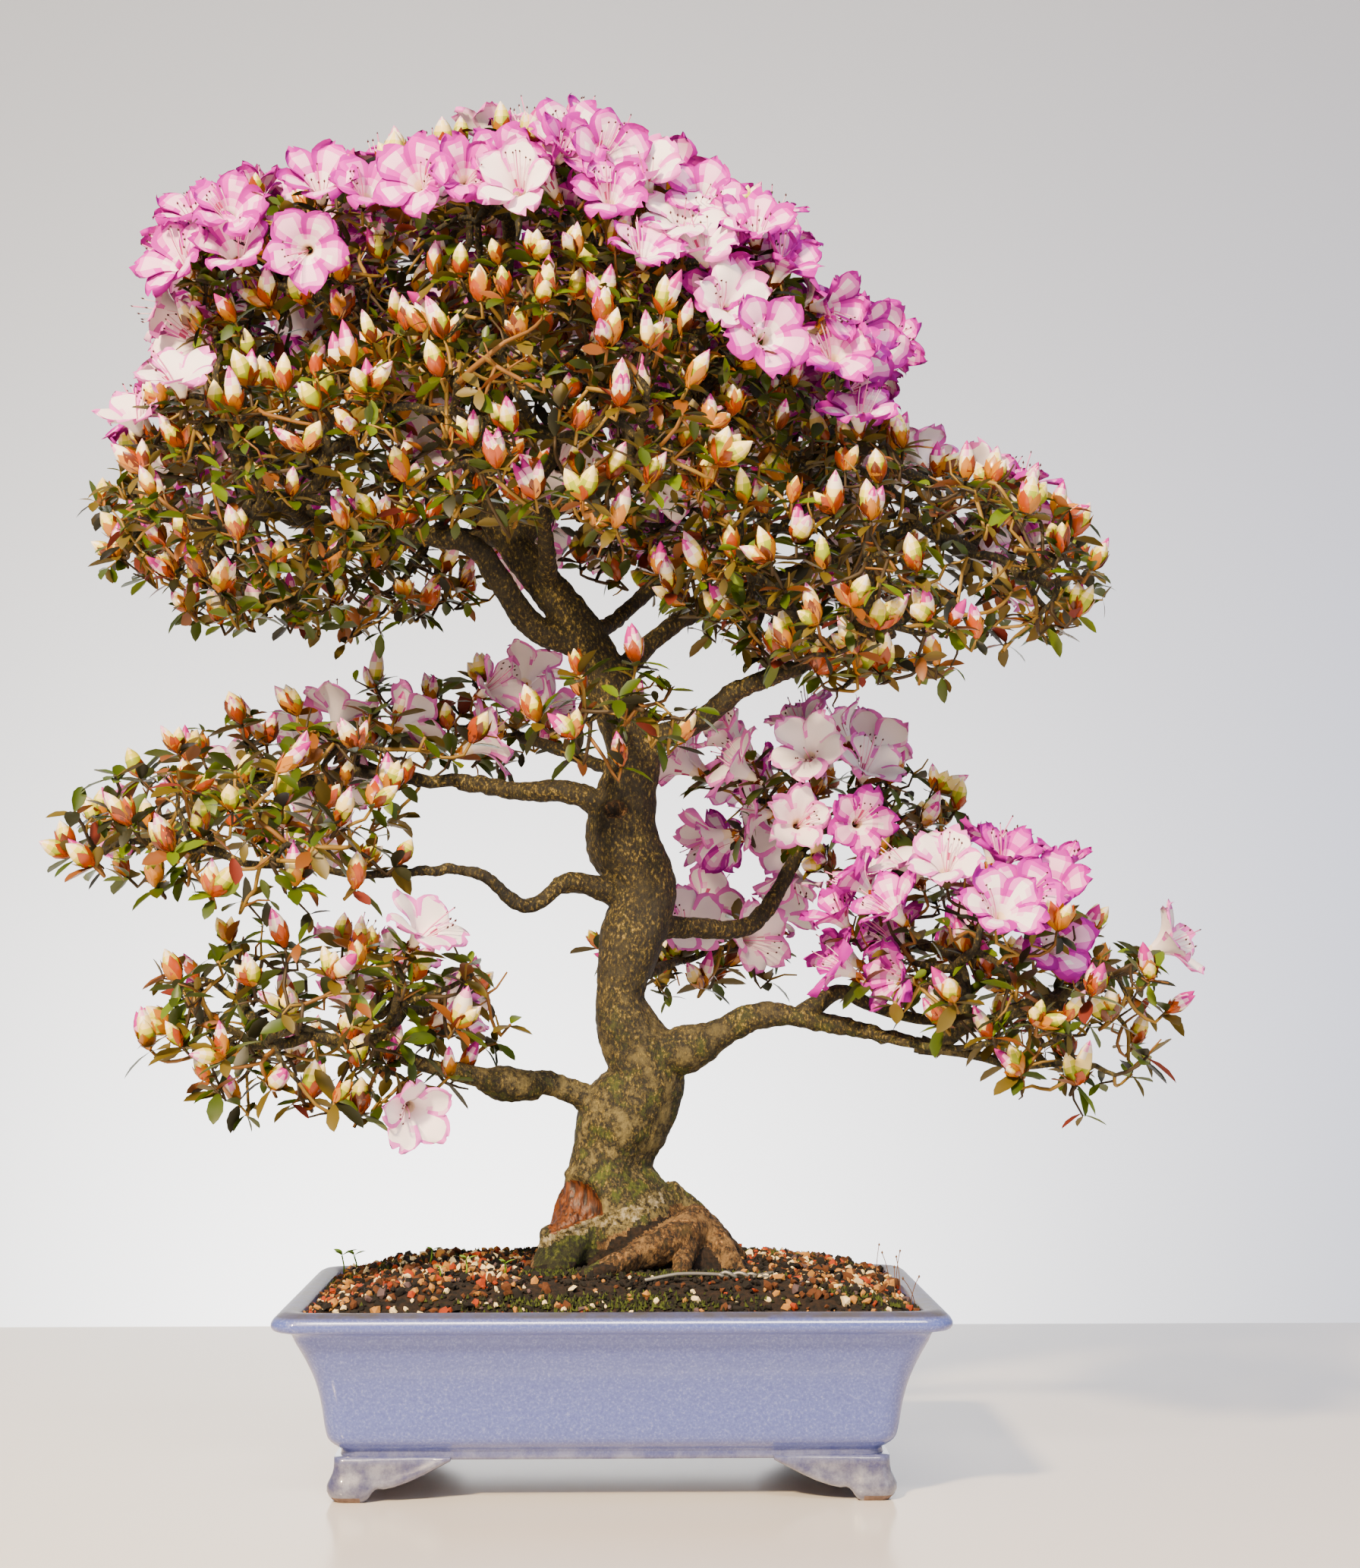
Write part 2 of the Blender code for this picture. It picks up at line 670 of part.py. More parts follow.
def tip_organs(name, chain, tip, leaves, limbs, rng, kept):
    """What one shoot carries: a bloom or a bud, and its leaves, where there is room."""
    point, direction, draw = tip
    up = np.array([0, 0, 1.0])
    mass = MASSES[name]
    kinds = [bloom, bud] if draw < mass.bloom else [bud]
    out = []
    for kind in kinds:
        for attempt in range(TRIES):
            aside = np.array([rng.gauss(0, 0.1 + 0.06 * attempt) for _ in range(3)])
            ahead = direction * 0.9 + up * 0.55 + aside
            points, faces = placed(kind(rng), point, ahead, rng.uniform(0, 6.28))
            if free(samples(points, faces), name, limbs) and clear_of(points[1], kept, kind):
                out.append((points, faces, kind.__name__))
                kept.append((points[1], kind))
                break
        if out:
            break
    turn = rng.uniform(0, 6.28)
    for k in range(leaves):
        for attempt in range(TRIES):
            turn += 2.4
            side = unit(np.cross(direction + (0.01, 0.02, 0.03), up))
            other = np.cross(unit(direction), side)
            around = side * math.cos(turn) + other * math.sin(turn)
            ahead = around + up * rng.uniform(-0.1, 0.35) + direction * 0.2
            root = back_along(chain, LEAF_FIRST + LEAF_STEP * k)
            points, faces = placed(leaf(rng), root, ahead, rng.uniform(-0.5, 0.5))
            if free(samples(points, faces), name, limbs) and clear_of(points[1], kept, leaf):
                out.append((points, faces, "leaf"))
                kept.append((points[1], leaf))
                break
    return out


def clear_of(point, kept, kind):
    """Whether an organ's outer end keeps its room to all those before it."""
    for other, other_kind in kept:
        need = (END_ROOM[kind.__name__] + END_ROOM[other_kind.__name__]) / 2
        if np.linalg.norm(point - other) < need:
            return False
    return True


def fuse(pieces, solver):
    """Joins pieces by one union on a collection, which is then removed."""
    base, rest = pieces[0], pieces[1:]
    group = bpy.data.collections.new("pieces")
    for piece in rest:
        group.objects.link(piece)
    union = base.modifiers.new("fuse", "BOOLEAN")
    union.operation = "UNION"
    union.operand_type = "COLLECTION"
    union.collection = group
    union.solver = solver
    union.material_mode = "TRANSFER"
    apply_modifiers(base)
    for piece in rest:
        mesh = piece.data
        bpy.data.objects.remove(piece, do_unlink=True)
        bpy.data.meshes.remove(mesh)
    bpy.data.collections.remove(group)
    keep_one_body(base)
    return base


def thin_out(obj, shares):
    """Keeps the first share of a body's faces that leaves it closed; says whether one did."""
    whole = obj.data.copy()
    for share in shares:
        obj.data = whole.copy()
        less = obj.modifiers.new("fewer faces", "DECIMATE")
        less.ratio = share
        apply_modifiers(obj)
        keep_one_body(obj)
        if is_closed(obj):
            return True
    return False


def mass_pieces(name, limbs, leaves, materials, root):
    """A mass's twigs, core and organs as loose objects, the stem first."""
    mass = MASSES[name]
    rng = random.Random(f"{name} {mass.seed}")
    if mass.limb == "trunk":
        stations = smooth_path(TRUNK, TRUNK_STEP)
        path, thick = stations[:, :3], stations[-1, 3]
    else:
        path, radii = bough_stations(BOUGHS[mass.limb])
        thick = radii[-1]
    heading = unit(path[-1] - path[-2])
    tips = spread_tips(name, mass.tips, limbs, rng)
    chains = grow(name, path[-1] + heading * SEAT, heading, thick, tips, limbs, rng)
    chains.sort(key=lambda found: -found[0][0][1])
    pieces = []
    for chain, tip in chains:
        points, radii = zip(*chain)
        rings = tube(np.array(points), radii, 3)
        pieces.append(add_object(name, *loft(rings), materials["twig"], root))
    if mass.dense:
        core = add_object(name, *core_points(name, limbs, rng), materials["shade"], root)
        thin_out(core, CORE_FACES_KEPT)
        pieces.append(core)
    kept = []
    for chain, tip in chains:
        for points, faces, kind in tip_organs(name, chain, tip, leaves, limbs, rng, kept):
            pieces.append(add_object(name, points, faces, materials[kind], root))
    return pieces


def make_mass(name, limbs, materials, root):
    """One mass of foliage: twigs from one stem, with blooms, buds and leaves sunk into them."""
    for leaves, solver in ((2, "EXACT"), (2, "MANIFOLD"), (1, "EXACT"), (1, "MANIFOLD")):
        pieces = mass_pieces(name, limbs, leaves, materials, root)
        whole = fuse(pieces, solver)
        if thin_out(whole, FACES_KEPT):
            whole.name = name
            return whole
        bpy.data.objects.remove(whole, do_unlink=True)
    raise RuntimeError(f"{name} can't be joined into one closed body")


def rounded(half_x, half_y, corner, height):
    """A level ring: a rectangle with round corners, anticlockwise."""
    ring = []
    for quarter, (sx, sy) in enumerate(((1, 1), (-1, 1), (-1, -1), (1, -1))):
        for part in range(3):
            angle = math.radians(90 * quarter + 45 * part)
            x = sx * (half_x - corner) + corner * math.cos(angle)
            y = sy * (half_y - corner) + corner * math.sin(angle)
            ring.append((x, y, height))
    return ring


# The pot's outer side from the foot band up, and its inner side from the lip down:
# inset from the lip and height
POT_OUTSIDE = [
    (38, POT_UNDERSIDE),
    (36, 24),
    (36, 27.5),
    (31.5, 29.5),
    (28.5, 34),
    (27, 43),
    (25.5, 55),
    (22, 68),
    (17, 80),
    (12.5, 90),
    (10.5, 94.5),
    (3, 96.5),
    (0.4, 98.5),
    (0, 103),
    (1, 105.8),
    (3.5, POT_TOP),
]
POT_INSIDE = [(14, POT_TOP), (16, 105), (19, 92), (30, 60), (36, POT_FLOOR + 4), (42, POT_FLOOR)]


def pot_ring(inset, height, extra=0):
    corner = max(POT_CORNER - inset * 0.12, 6)
    return rounded(POT_LENGTH / 2 - inset - extra, POT_DEPTH / 2 - inset - extra, corner, height)


def make_pot(material, root):
    """The pot's body: a flared box with a lip, open at the top and filled by the soil."""
    rings = [pot_ring(inset, height) for inset, height in POT_OUTSIDE + POT_INSIDE]
    return add_object("pot_body", *loft(rings), material, root)


def foot_height(distance):
    """The underside of a foot's arm: flat under the toe, then rising in an arch."""
    share = min(max((distance - FOOT_TOE) / (FOOT_ARM - FOOT_TOE), 0), 1)
    return (POT_UNDERSIDE - 6) * math.sin(share * math.pi / 2) ** 0.8 if share > 0 else 0


def make_feet(material, root):
    """Four bracket feet, each an angle piece round a corner with its two arms arched."""
    top = POT_UNDERSIDE - SEAT
    arm = (FOOT_ARM, 48, 34, FOOT_TOE)
    stations = [(x, 0) for x in arm] + [(0, 0)] + [(0, y) for y in reversed(arm)]
    rings = []
    for x, y in stations:
        low = foot_height(max(x, y))
        out_x = 3 if x < FOOT_TOE else 0
        out_y = 3 if y < FOOT_TOE else 0
        inner_x = max(x, FOOT_THICK)
        inner_y = max(y, FOOT_THICK)
        on_x = y == 0
        on_y = x == 0
        outer = (-(out_x if on_y else -x), -(out_y if on_x else -y))
        inner = (inner_x if on_y else x, inner_y if on_x else y)
        rings.append([(*outer, low), (x, y, top), (*inner, top), (*inner, low)])
    verts, faces = loft(rings)
    corner_x = POT_LENGTH / 2 - FOOT_INSET
    corner_y = POT_DEPTH / 2 - FOOT_INSET
    names = ("foot_front_left", "foot_front_right", "foot_back_right", "foot_back_left")
    places = ((-1, -1), (1, -1), (1, 1), (-1, 1))
    for k, (name, (sx, sy)) in enumerate(zip(names, places)):
        foot = add_object(name, verts, faces, material, root)
        foot.location = (sx * corner_x * MM, sy * corner_y * MM, 0)
        foot.rotation_euler = (0, 0, k * math.pi / 2)


def make_soil(material, root):
    """Soil that fills the pot, banked up to a flat top under the trunk."""
    insets, heights = zip(*reversed(POT_INSIDE))
    edge = float(np.interp(SOIL_EDGE, heights, insets))
    wall = [(inset, height + SEAT) for inset, height in zip(insets, heights) if height < SOIL_EDGE - 2]
    rings = [pot_ring(inset, height, SEAT) for inset, height in wall + [(edge, SOIL_EDGE)]]
    edge_x = POT_LENGTH / 2 - edge
    edge_y = POT_DEPTH / 2 - edge
    flat = GROUND - SEAT
    for share, height in ((0.5, SOIL_EDGE + (flat - SOIL_EDGE) * 0.62), (1, flat)):
        half_x = edge_x + (MOUND_HALF[0] - edge_x) * share
        half_y = edge_y + (MOUND_HALF[1] - edge_y) * share
        rings.append(rounded(half_x, half_y, 14 + 50 * share, height))
    return add_object("soil", *loft(rings), material, root)


def main():
    clear_scene()
    root = bpy.data.objects.new("azalea_bonsai", None)
    root.location = [c * MM for c in POT_PLACE]
    bpy.context.scene.collection.objects.link(root)
    materials = {name: make_material(name) for name in COLOURS}
    make_pot(materials["glaze"], root)
    make_feet(materials["glaze"], root)
    make_soil(materials["soil"], root)
    make_trunk(materials["bark"], root)
    cutter = add_object("trunk_cutter", *loft(trunk_rings(TRUNK_ROOM)), materials["bark"], root)
    for name, bough in BOUGHS.items():
        make_bough(name, bough, cutter, materials["bark"], root)
    bpy.data.objects.remove(cutter, do_unlink=True)
    limbs = limb_samples()
    for name in MASSES:
        make_mass(name, limbs, materials, root)


main()
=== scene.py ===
"""The looks of an azalea bonsai in its glazed pot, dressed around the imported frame.

Sizes are in millimetres from the middle of the pot, on the surface that its feet stand on,
and become metres as each mesh is made. +Z is up and -Y is the front.
"""

import math
from collections import namedtuple

import bpy
import numpy as np
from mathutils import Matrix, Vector, noise


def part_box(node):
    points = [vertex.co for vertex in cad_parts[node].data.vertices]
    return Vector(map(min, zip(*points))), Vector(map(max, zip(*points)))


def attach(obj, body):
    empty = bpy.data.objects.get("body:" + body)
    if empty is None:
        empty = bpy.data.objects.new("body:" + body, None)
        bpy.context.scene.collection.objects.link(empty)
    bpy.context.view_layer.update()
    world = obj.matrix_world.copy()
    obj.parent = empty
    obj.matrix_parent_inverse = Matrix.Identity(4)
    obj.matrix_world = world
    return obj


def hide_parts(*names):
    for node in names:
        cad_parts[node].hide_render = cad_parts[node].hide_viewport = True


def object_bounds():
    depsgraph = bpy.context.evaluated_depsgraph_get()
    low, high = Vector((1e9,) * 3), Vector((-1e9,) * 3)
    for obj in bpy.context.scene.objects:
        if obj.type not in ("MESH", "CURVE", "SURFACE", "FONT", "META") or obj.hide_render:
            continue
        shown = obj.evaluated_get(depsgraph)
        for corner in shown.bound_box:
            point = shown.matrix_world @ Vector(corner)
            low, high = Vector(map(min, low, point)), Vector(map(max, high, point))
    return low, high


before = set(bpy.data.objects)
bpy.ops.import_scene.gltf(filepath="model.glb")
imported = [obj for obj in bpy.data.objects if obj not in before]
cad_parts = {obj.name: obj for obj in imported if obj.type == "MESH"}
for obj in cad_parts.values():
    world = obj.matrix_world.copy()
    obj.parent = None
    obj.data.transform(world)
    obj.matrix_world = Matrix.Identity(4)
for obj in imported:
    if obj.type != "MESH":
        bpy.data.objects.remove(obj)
cad_box = [list(corner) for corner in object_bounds()]

MM = 0.001
pot_low, pot_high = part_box("pot_body")
POT_PLACE = np.array([(pot_low.x + pot_high.x) / 2, (pot_low.y + pot_high.y) / 2, 0.0])

# The camera: eye, turn to the right, tilt up and lens for its film
EYE = (-2.0, -1606.0, 289.5)
EYE_TURN = 1.5
EYE_TILT = 4.18
EYE_LENS = 61.3
FILM_HEIGHT = 36.0
# The far edge of the floor and its thickness, the backdrop behind it, its foot, and half the width
FLOOR_EDGE = 650.0
FLOOR_THICK = 60.0
BACKDROP = 4500.0
BACKDROP_FOOT = -2000.0
STAGE_HALF = 7000.0

# Pot: the same driving sizes as the solids
POT_LENGTH = 376.0
POT_DEPTH = 262.0
POT_TOP = 107.0
POT_CORNER = 15.0
POT_UNDERSIDE = 22.5
FOOT_ARM = 65.0
FOOT_THICK = 15.0
FOOT_INSET = 33.0
# The pot's outer side from the foot band up and its inner side from the lip down: inset from
# the lip and height
POT_OUTSIDE = [
    (40, POT_UNDERSIDE), (36.5, 23), (36, 25), (36.3, 28), (33, 30.5), (29.5, 34.5), (27.6, 42),
    (25.5, 55), (22, 68), (17, 80), (12.5, 89), (10.8, 93), (8.5, 95.2), (3.4, 96.2), (0.9, 97.6),
    (0, 100.0), (0.2, 101.4), (0.5, 102.0), (1.1, 103.05), (1.5, 103.7), (3.2, 105.0), (5.6, 106.3),
]
POT_INSIDE = [(8, POT_TOP), (12, 106.7), (14.6, 105.4), (16, 102), (20, 90), (30, 60)]
# The underside of a foot's arm at distances from its corner: toe, notch and arch
FOOT_DISTANCES = (0, 16, 19, 21.5, 24, 28, 34, 42, 50, 58, FOOT_ARM)
FOOT_HEIGHTS = (0, 0, 1.4, 5.2, 7.6, 7.2, 8.4, 11.2, 14.8, 18.8, POT_UNDERSIDE)
# Below this height a foot is left bare of glaze
BARE_SOLE = 1.6
# Heights over which the glaze turns dull on the lip, and thin on the foot
GLAZE_LIP = (103.4, 105.0)
GLAZE_FOOT = (34.0, 20.0)

# Soil: its height at the wall, the heap among the roots, and the top of its bank and its half sizes
SOIL_EDGE = 103.4
SOIL_HEAP = 3.5
GROUND = 120.0
MOUND_HALF = (102.0, 82.0)
# Granules: how many, radii of small and large ones, and the shares of their colours in the dark
# earth round the trunk and elsewhere
GRAINS = 4300
GRAIN_SMALL = (0.8, 1.9)
GRAIN_LARGE = (1.8, 3.1)
GRAIN_TONES_DARK = (0.86, 0.1, 0.015, 0.01, 0.01, 0.005)
GRAIN_TONES = (0.38, 0.2, 0.16, 0.12, 0.09, 0.05)
# Moss: the middle of each patch, its spread both ways and its number of tufts
MOSS_SPOTS = [
    (-8, -106, 44, 4, 620), (150, -92, 15, 9, 420), (-34, -50, 10, 7, 300), (48, -62, 24, 6, 300),
    (-150, 60, 16, 26, 260), (60, 70, 50, 24, 500), (-70, 80, 40, 20, 300),
]
# Seedlings: place and height
SEEDLINGS = ((-167, 78, 13), (-160, 88, 10), (-84, -60, 9), (-62, -66, 8), (-98, -74, 6), (-110, 20, 8))
MOSS_STALKS = 7
# Strands of wire: where each starts and ends across the pot, its side of the knot, and how far it
# parts from the other behind it
WIRE_STRANDS = ((18, 98, 1, 0), (60, 92, -1, 8))

# Trunk: x, y, height and radius at its bends, swellings and waists
TRUNK = [
    (12, 0, 106, 39), (9, 0, 136, 36), (4, 0, 153, 31), (-3, 1, 172, 25.5), (-1, 2, 187, 24.5),
    (5, 2, 206, 28), (19, 0, 232, 22.5), (7, -3, 264, 18), (4, -4, 281, 14.6), (11, -2, 314, 19.2),
    (20, 2, 345, 18.4), (6, 4, 373, 22.2), (8, 2, 398, 17.8), (12, -2, 424, 15.6), (0, -4, 458, 14.2),
    (-17, -2, 495, 12.6), (-46, 2, 533, 11), (-75, 4, 574, 9.4), (-84, 3, 612, 8.2), (-76, 0, 655, 6.6),
    (-68, 0, 692, 5.2),
]
# Surface roots: compass angle in degrees, reach from the middle of the trunk and thickness
ROOTS = [(-155, 66, 11), (14, 84, 10), (66, 72, 11), (120, 74, 11), (172, 62, 13)]
# Their course in shares of the reach, of ROOT_TOP over the ground, of ROOT_TWIST in degrees and of
# the thickness
ROOT_SHAPE = ((0.2, 1, 0, 1.25), (0.5, 0.52, 0.2, 1.1), (0.75, 0.14, 0.7, 0.8), (1, -0.22, 1, 0.45))
ROOT_TOP = 40.0
ROOT_TWIST = 16.0
# Thin roots between them: how many, thickness, and how far they lie below a main root's course
SIDE_ROOTS = 7
SIDE_ROOT_THICK = 5.2
SIDE_ROOT_DROP = 7
# Roots in front, by place and radius: one crosses down to the left, a thin one hangs under
# it, one arches to the right and one runs on below the wound
FRONT_ROOTS = [
    [
        (50, -8, 144, 13), (38, -28, 138, 11.5), (16, -44, 131, 9), (0, -53, 124, 7.5),
        (-17, -59, 117, 5.5), (-29, -62, 110, 4),
    ],
    [(44, -24, 138, 8), (42, -40, 128, 5.5), (38, -50, 119, 4.8), (35, -55, 107, 4)],
    [(46, -4, 144, 13), (56, -10, 139, 10.5), (64, -18, 131, 8.5), (71, -25, 121, 7), (79, -30, 107, 5.5)],
    [(-20, -14, 146, 14), (-31, -22, 133, 12), (-41, -30, 112, 10)],
]
# Earth packed behind the roots in front: place and radius along its ridge
EARTH_HEAP = [(-6, -14, 110, 20), (22, -16, 114, 23), (50, -12, 112, 24), (74, -6, 102, 20)]
# How high that earth shows on the trunk's skin, at places across the trunk; its dark there is partly painted
# shade in the hollows between the roots
EARTH_EDGE = ((-30, -12, 12, 40), (123, 127, 146, 152))
# The swelling that healed beside the wound: place and radius
CALLUS = [(-20, -6, 118, 20), (-17, -5, 150, 19), (-9, -3, 172, 14), (-4, 0, 186, 8)]
# The wound on the trunk's front: x and height of its middle and its half sizes
WOUND = (-22.0, 150.0, 17.0, 21.5)
# The line that cuts the wound off below: its height at the wound's middle and its rise
WOUND_SILL = (146.0, 0.37)
# Width of the callus under the wound, at places across the trunk
CALLUS_WIDTH = ((-44, -12, 14, 32), (5.0, 7.0, 11.0, 6.0))
# The pruning scar: x, height and radius
SCAR = (1.0, 390.0, 6.5)
# Carving and scar stay in front of this depth
CARVED_FRONT = -4
# Heights over which moss and lichen thin out on the bark
MOSSY_BARK = (300.0, 170.0)
# The bark's skin is rebuilt in cells of this size
WOOD_VOXEL = 1.62
# What a face of the trunk wears; the earth slot is partly painted shade, low between the roots and in the
# scar's hole
BARK, ROOT_BARK, WOUND_WOOD, CRUST, EARTH_AND_SHADE, MOSSY = range(6)

# The crown's outline as seen from the front, on the middle plane: over the top from left to
# right, down its right side, and back along its underside
CROWN_TOP = [
    (-270, 757), (-253, 779), (-201, 776), (-152, 802), (-94, 812), (-29, 827), (0, 815), (22, 796),
    (52, 792), (74, 773), (112, 770), (126, 724), (142, 703), (174, 703),
]
CROWN_SIDES = [
    (174, 671), (150, 646), (194, 616), (240, 606), (272, 592), (287, 560), (312, 543), (282, 514),
    (240, 492), (238, 474), (187, 440), (70, 455), (-60, 492), (-280, 498), (-308, 545), (-311, 580),
    (-290, 655), (-266, 666), (-280, 705),
]
# How far buds and petals reach beyond a shoot's end, up and sideways
ORGAN_REACH = (15.0, 20.0)
# How far down from the outline the crown blooms, left and right of its middle
BLOOM_BAND = (66.0, 86.0)
# How far shoots stand in front of the middle plane and behind it
DEPTH_LIMIT = 188.0

Bough = namedtuple("Bough", "thick thin path")
# Radius at the trunk and at the tip, and the points that each limb bends through
BOUGHS = {
    "bough_low_left": Bough(9.5, 5.6, [(5, -3, 205), (-34, -12, 227), (-61, -22, 229), (-95, -33, 236)]),
    "bough_low_right": Bough(
        13.5, 6.5, [(14, 0, 240), (51, -8, 251), (87, -16, 268), (125, -22, 264), (185, -28, 250)]
    ),
    "bough_left_mid": Bough(8.2, 5.0, [(8, 2, 384), (-23, 0, 401), (-57, 8, 403), (-95, 18, 410)]),
    "bough_left_thin": Bough(
        5.0, 2.8, [(6, -4, 338), (-26, -18, 347), (-52, -32, 332), (-83, -46, 352), (-136, -64, 350)]
    ),
    "bough_right_mid": Bough(8.0, 4.4, [(16, 2, 322), (45, 18, 321), (86, 44, 324), (118, 66, 370)]),
    "bough_upper_right": Bough(8.5, 5.2, [(12, -2, 428), (50, -16, 443), (74, -24, 461), (108, -35, 473)]),
    "bough_right_high": Bough(6.8, 4.2, [(-4, -3, 466), (36, 12, 505), (85, 14, 528), (150, 4, 553)]),
    "bough_fork_left": Bough(
        9.0, 5.6, [(-14, -2, 490), (-48, -10, 501), (-68, -20, 527), (-88, -25, 549), (-127, -20, 554)]
    ),
    "bough_left_top": Bough(5.8, 3.8, [(-84, 3, 606), (-108, 2, 632), (-142, -2, 655), (-165, -5, 686)]),
    "bough_right_top": Bough(6.8, 4.2, [(-62, 3, 555), (-12, 6, 594), (32, 3, 624), (66, -4, 660)]),
    "bough_front_up": Bough(6.2, 4.2, [(-42, 1, 528), (-40, -26, 542), (-44, -52, 572)]),
    "bough_back_up": Bough(5.4, 3.8, [(-82, 2, 628), (-84, 34, 644), (-76, 78, 668)]),
    "bough_back_left": Bough(6.0, 4.0, [(-64, 3, 556), (-84, 40, 563), (-112, 84, 576)]),
    "bough_back_right": Bough(6.4, 4.0, [(-18, -2, 497), (2, 36, 512), (42, 82, 556)]),
    "bough_back_high": Bough(5.0, 3.4, [(11, 0, 412), (-6, 34, 420), (-60, 85, 444)]),
    "bough_back_low": Bough(5.2, 3.4, [(5, -3, 289), (16, 40, 291), (36, 92, 299)]),
    "bough_front": Bough(3.6, 2.6, [(9, -2, 430), (6, -28, 434), (3, -45, 438)]),
}
# A bough's collar: how much thicker it is at the trunk, and the share of its length it takes
COLLAR = 0.3
COLLAR_RUN = 0.12

Mass = namedtuple("Mass", "limb centre half tilt blooms toward pale")
# Carrying limb, middle, half sizes and tilt; then the pads' share of blooms, the side that
# they keep to, and how many of them are pale. The crown's blooms keep to its top and rims.
MASSES = {
    "foliage_apex_left": Mass("bough_left_top", (-199, -5, 724), (80, 105, 58), 0, None, None, 0.1),
    "foliage_apex_middle": Mass("trunk", (-62, -20, 760), (112, 110, 67), 0, None, None, 0.1),
    "foliage_apex_right": Mass("bough_right_top", (95, -10, 710), (88, 110, 72), -22, None, None, 0.1),
    "foliage_apex_back": Mass("bough_back_up", (-70, 126, 698), (125, 88, 85), 0, None, None, 0.2),
    "foliage_crown_left": Mass("bough_fork_left", (-217, -20, 583), (110, 130, 84), 0, None, None, 0.3),
    "foliage_crown_front": Mass("bough_front_up", (-32, -110, 628), (122, 90, 84), 0, None, None, 0.3),
    "foliage_crown_right": Mass("bough_right_high", (212, -10, 566), (116, 120, 60), -24, None, None, 0.2),
    "foliage_crown_right_low": Mass(
        "bough_upper_right", (130, -60, 525), (115, 100, 60), -8, None, None, 0.8
    ),
    "foliage_crown_back_left": Mass("bough_back_left", (-165, 130, 600), (115, 88, 85), 0, None, None, 0.3),
    "foliage_crown_back_right": Mass("bough_back_right", (95, 130, 600), (130, 90, 85), 0, None, None, 0.3),
    "foliage_left_upper": Mass("bough_left_mid", (-200, 25, 420), (142, 95, 48), 10, 0.5, (0.3, 1, 0.2), 1),
    "foliage_left_lower": Mass("bough_left_thin", (-218, -82, 382), (118, 62, 48), -3, 0, (0, 1, 0), 1),
    "foliage_low_left": Mass("bough_low_left", (-168, -45, 275), (130, 110, 64), 0, 0.2, (1, 0.8, 0), 1),
    "foliage_right_back": Mass(
        "bough_right_mid", (146, 92, 408), (106, 84, 52), -12, 0.9, (-1, -0.4, 0.3), 0.9
    ),
    "foliage_low_right": Mass(
        "bough_low_right", (238, -30, 298), (120, 110, 71), -22, 0.95, (-0.3, 0.2, 1), 0.25
    ),
    "foliage_back_high": Mass("bough_back_high", (-105, 118, 464), (85, 75, 42), 0, 0.8, (0.5, 0, 1), 0.9),
    "foliage_back_low": Mass("bough_back_low", (45, 142, 316), (80, 72, 38), 0, 0.8, (0, -0.2, 1), 0.85),
    "foliage_front": Mass("bough_front", (0, -80, 452), (62, 42, 42), 0, 0, (0, 0, 1), 1),
}
CROWN = [name for name, mass in MASSES.items() if mass.blooms is None]
PADS = [name for name in MASSES if name not in CROWN]
KINDS = ("twigs", "leaves", "buds", "scales", "petals", "stamens")
# Shoots: how far their organs rise over them, how far out their ends lie in a mass, how far
# masses melt together, the depth of the leafy shell, and their distances apart
ORGAN_LIFT = 12.0
CROWN_LIMIT = 0.86
PAD_LIMIT = 0.86
FIELD_REACH = 1.65
CROWN_SHELL = 0.2
OUTER_SPACING = 21.5
INNER_SPACING = 31.0
PAD_SPACING = 30.0
# Places tried in each mass
CANDIDATES = 9000
# Twigs: radius at their ends, how it grows with the ends carried, how far on they fork, the
# distance of their rings and of their bends, the size of a bend, and their sag
TWIG_THIN = 0.98
TWIG_GROWTH = 0.44
TWIG_LEAD = 0.42
TWIG_STEP = 6.8
TWIG_BEND = 13.0
TWIG_CROOK = 1.9
TWIG_SAG = 0.05
# From this radius on a twig is a branch in old bark
BRANCH_FROM = 1.9
# The last stretch of a shoot, which points where it grows
SHOOT_RISE = 9.0

# Organs in life size
LEAF_LENGTH = (12.0, 19.5)
LEAF_WIDTH = 0.44
BUD_LENGTH = 25.0
BLOOM_PETAL = 36.0
STAMEN_LENGTH = 29.0
# Fold and droop of the leaves' shapes
LEAF_FORMS = ((0.35, 0.1), (0.15, 0.22), (0.5, -0.06), (0.25, 0.32))
# Shares of the leaves' colours on outer and on inner shoots; more lit green outside is painted light, more
# olive and dark inside is painted shade in the crown
LEAF_TONES = (0.2, 0.32, 0.28, 0.11, 0.07, 0.02)
LEAF_TONES_INNER_SHADED = (0.03, 0.13, 0.46, 0.26, 0.1, 0.02)
# Leaves on the pads are larger
PAD_LEAVES = 1.18
# A bud's height and radius from foot to tip
BUD_PROFILE = np.array(
    [(0, 1.3), (2.5, 3.1), (6, 4.9), (10.5, 5.8), (15, 5.4), (19, 4.0), (22.5, 2.0), (25, 0.2)]
)
BUD_SIDES = 8
# Kinds of buds by swelling, length and tint, and how often each comes
BUD_KINDS = [
    (1.0, 25.0, -0.3), (0.95, 28.0, -0.1), (1.12, 24.0, -0.34), (0.9, 21.0, -0.4), (0.92, 27.0, 0.06),
    (0.86, 28.0, 0.22),
]
BUD_SHARES = (0.2, 0.18, 0.18, 0.18, 0.15, 0.11)
# Where a bud's tints change from green over cream to pink, in shares of its length
BUD_BANDS = (0.2, 0.36, 0.56, 0.74, 0.9)
# Share of the shoots out of bloom that end in buds
BUDDED = {"crown": 0.68, "pads": 0.62}
# Rows and columns of points on a petal
PETAL_ROWS = 11
PETAL_COLUMNS = 9
# Distances from a petal's margin at which its tint changes, from magenta to white
MARGIN_BANDS = (2.2, 3.6, 5.0, 7.0)
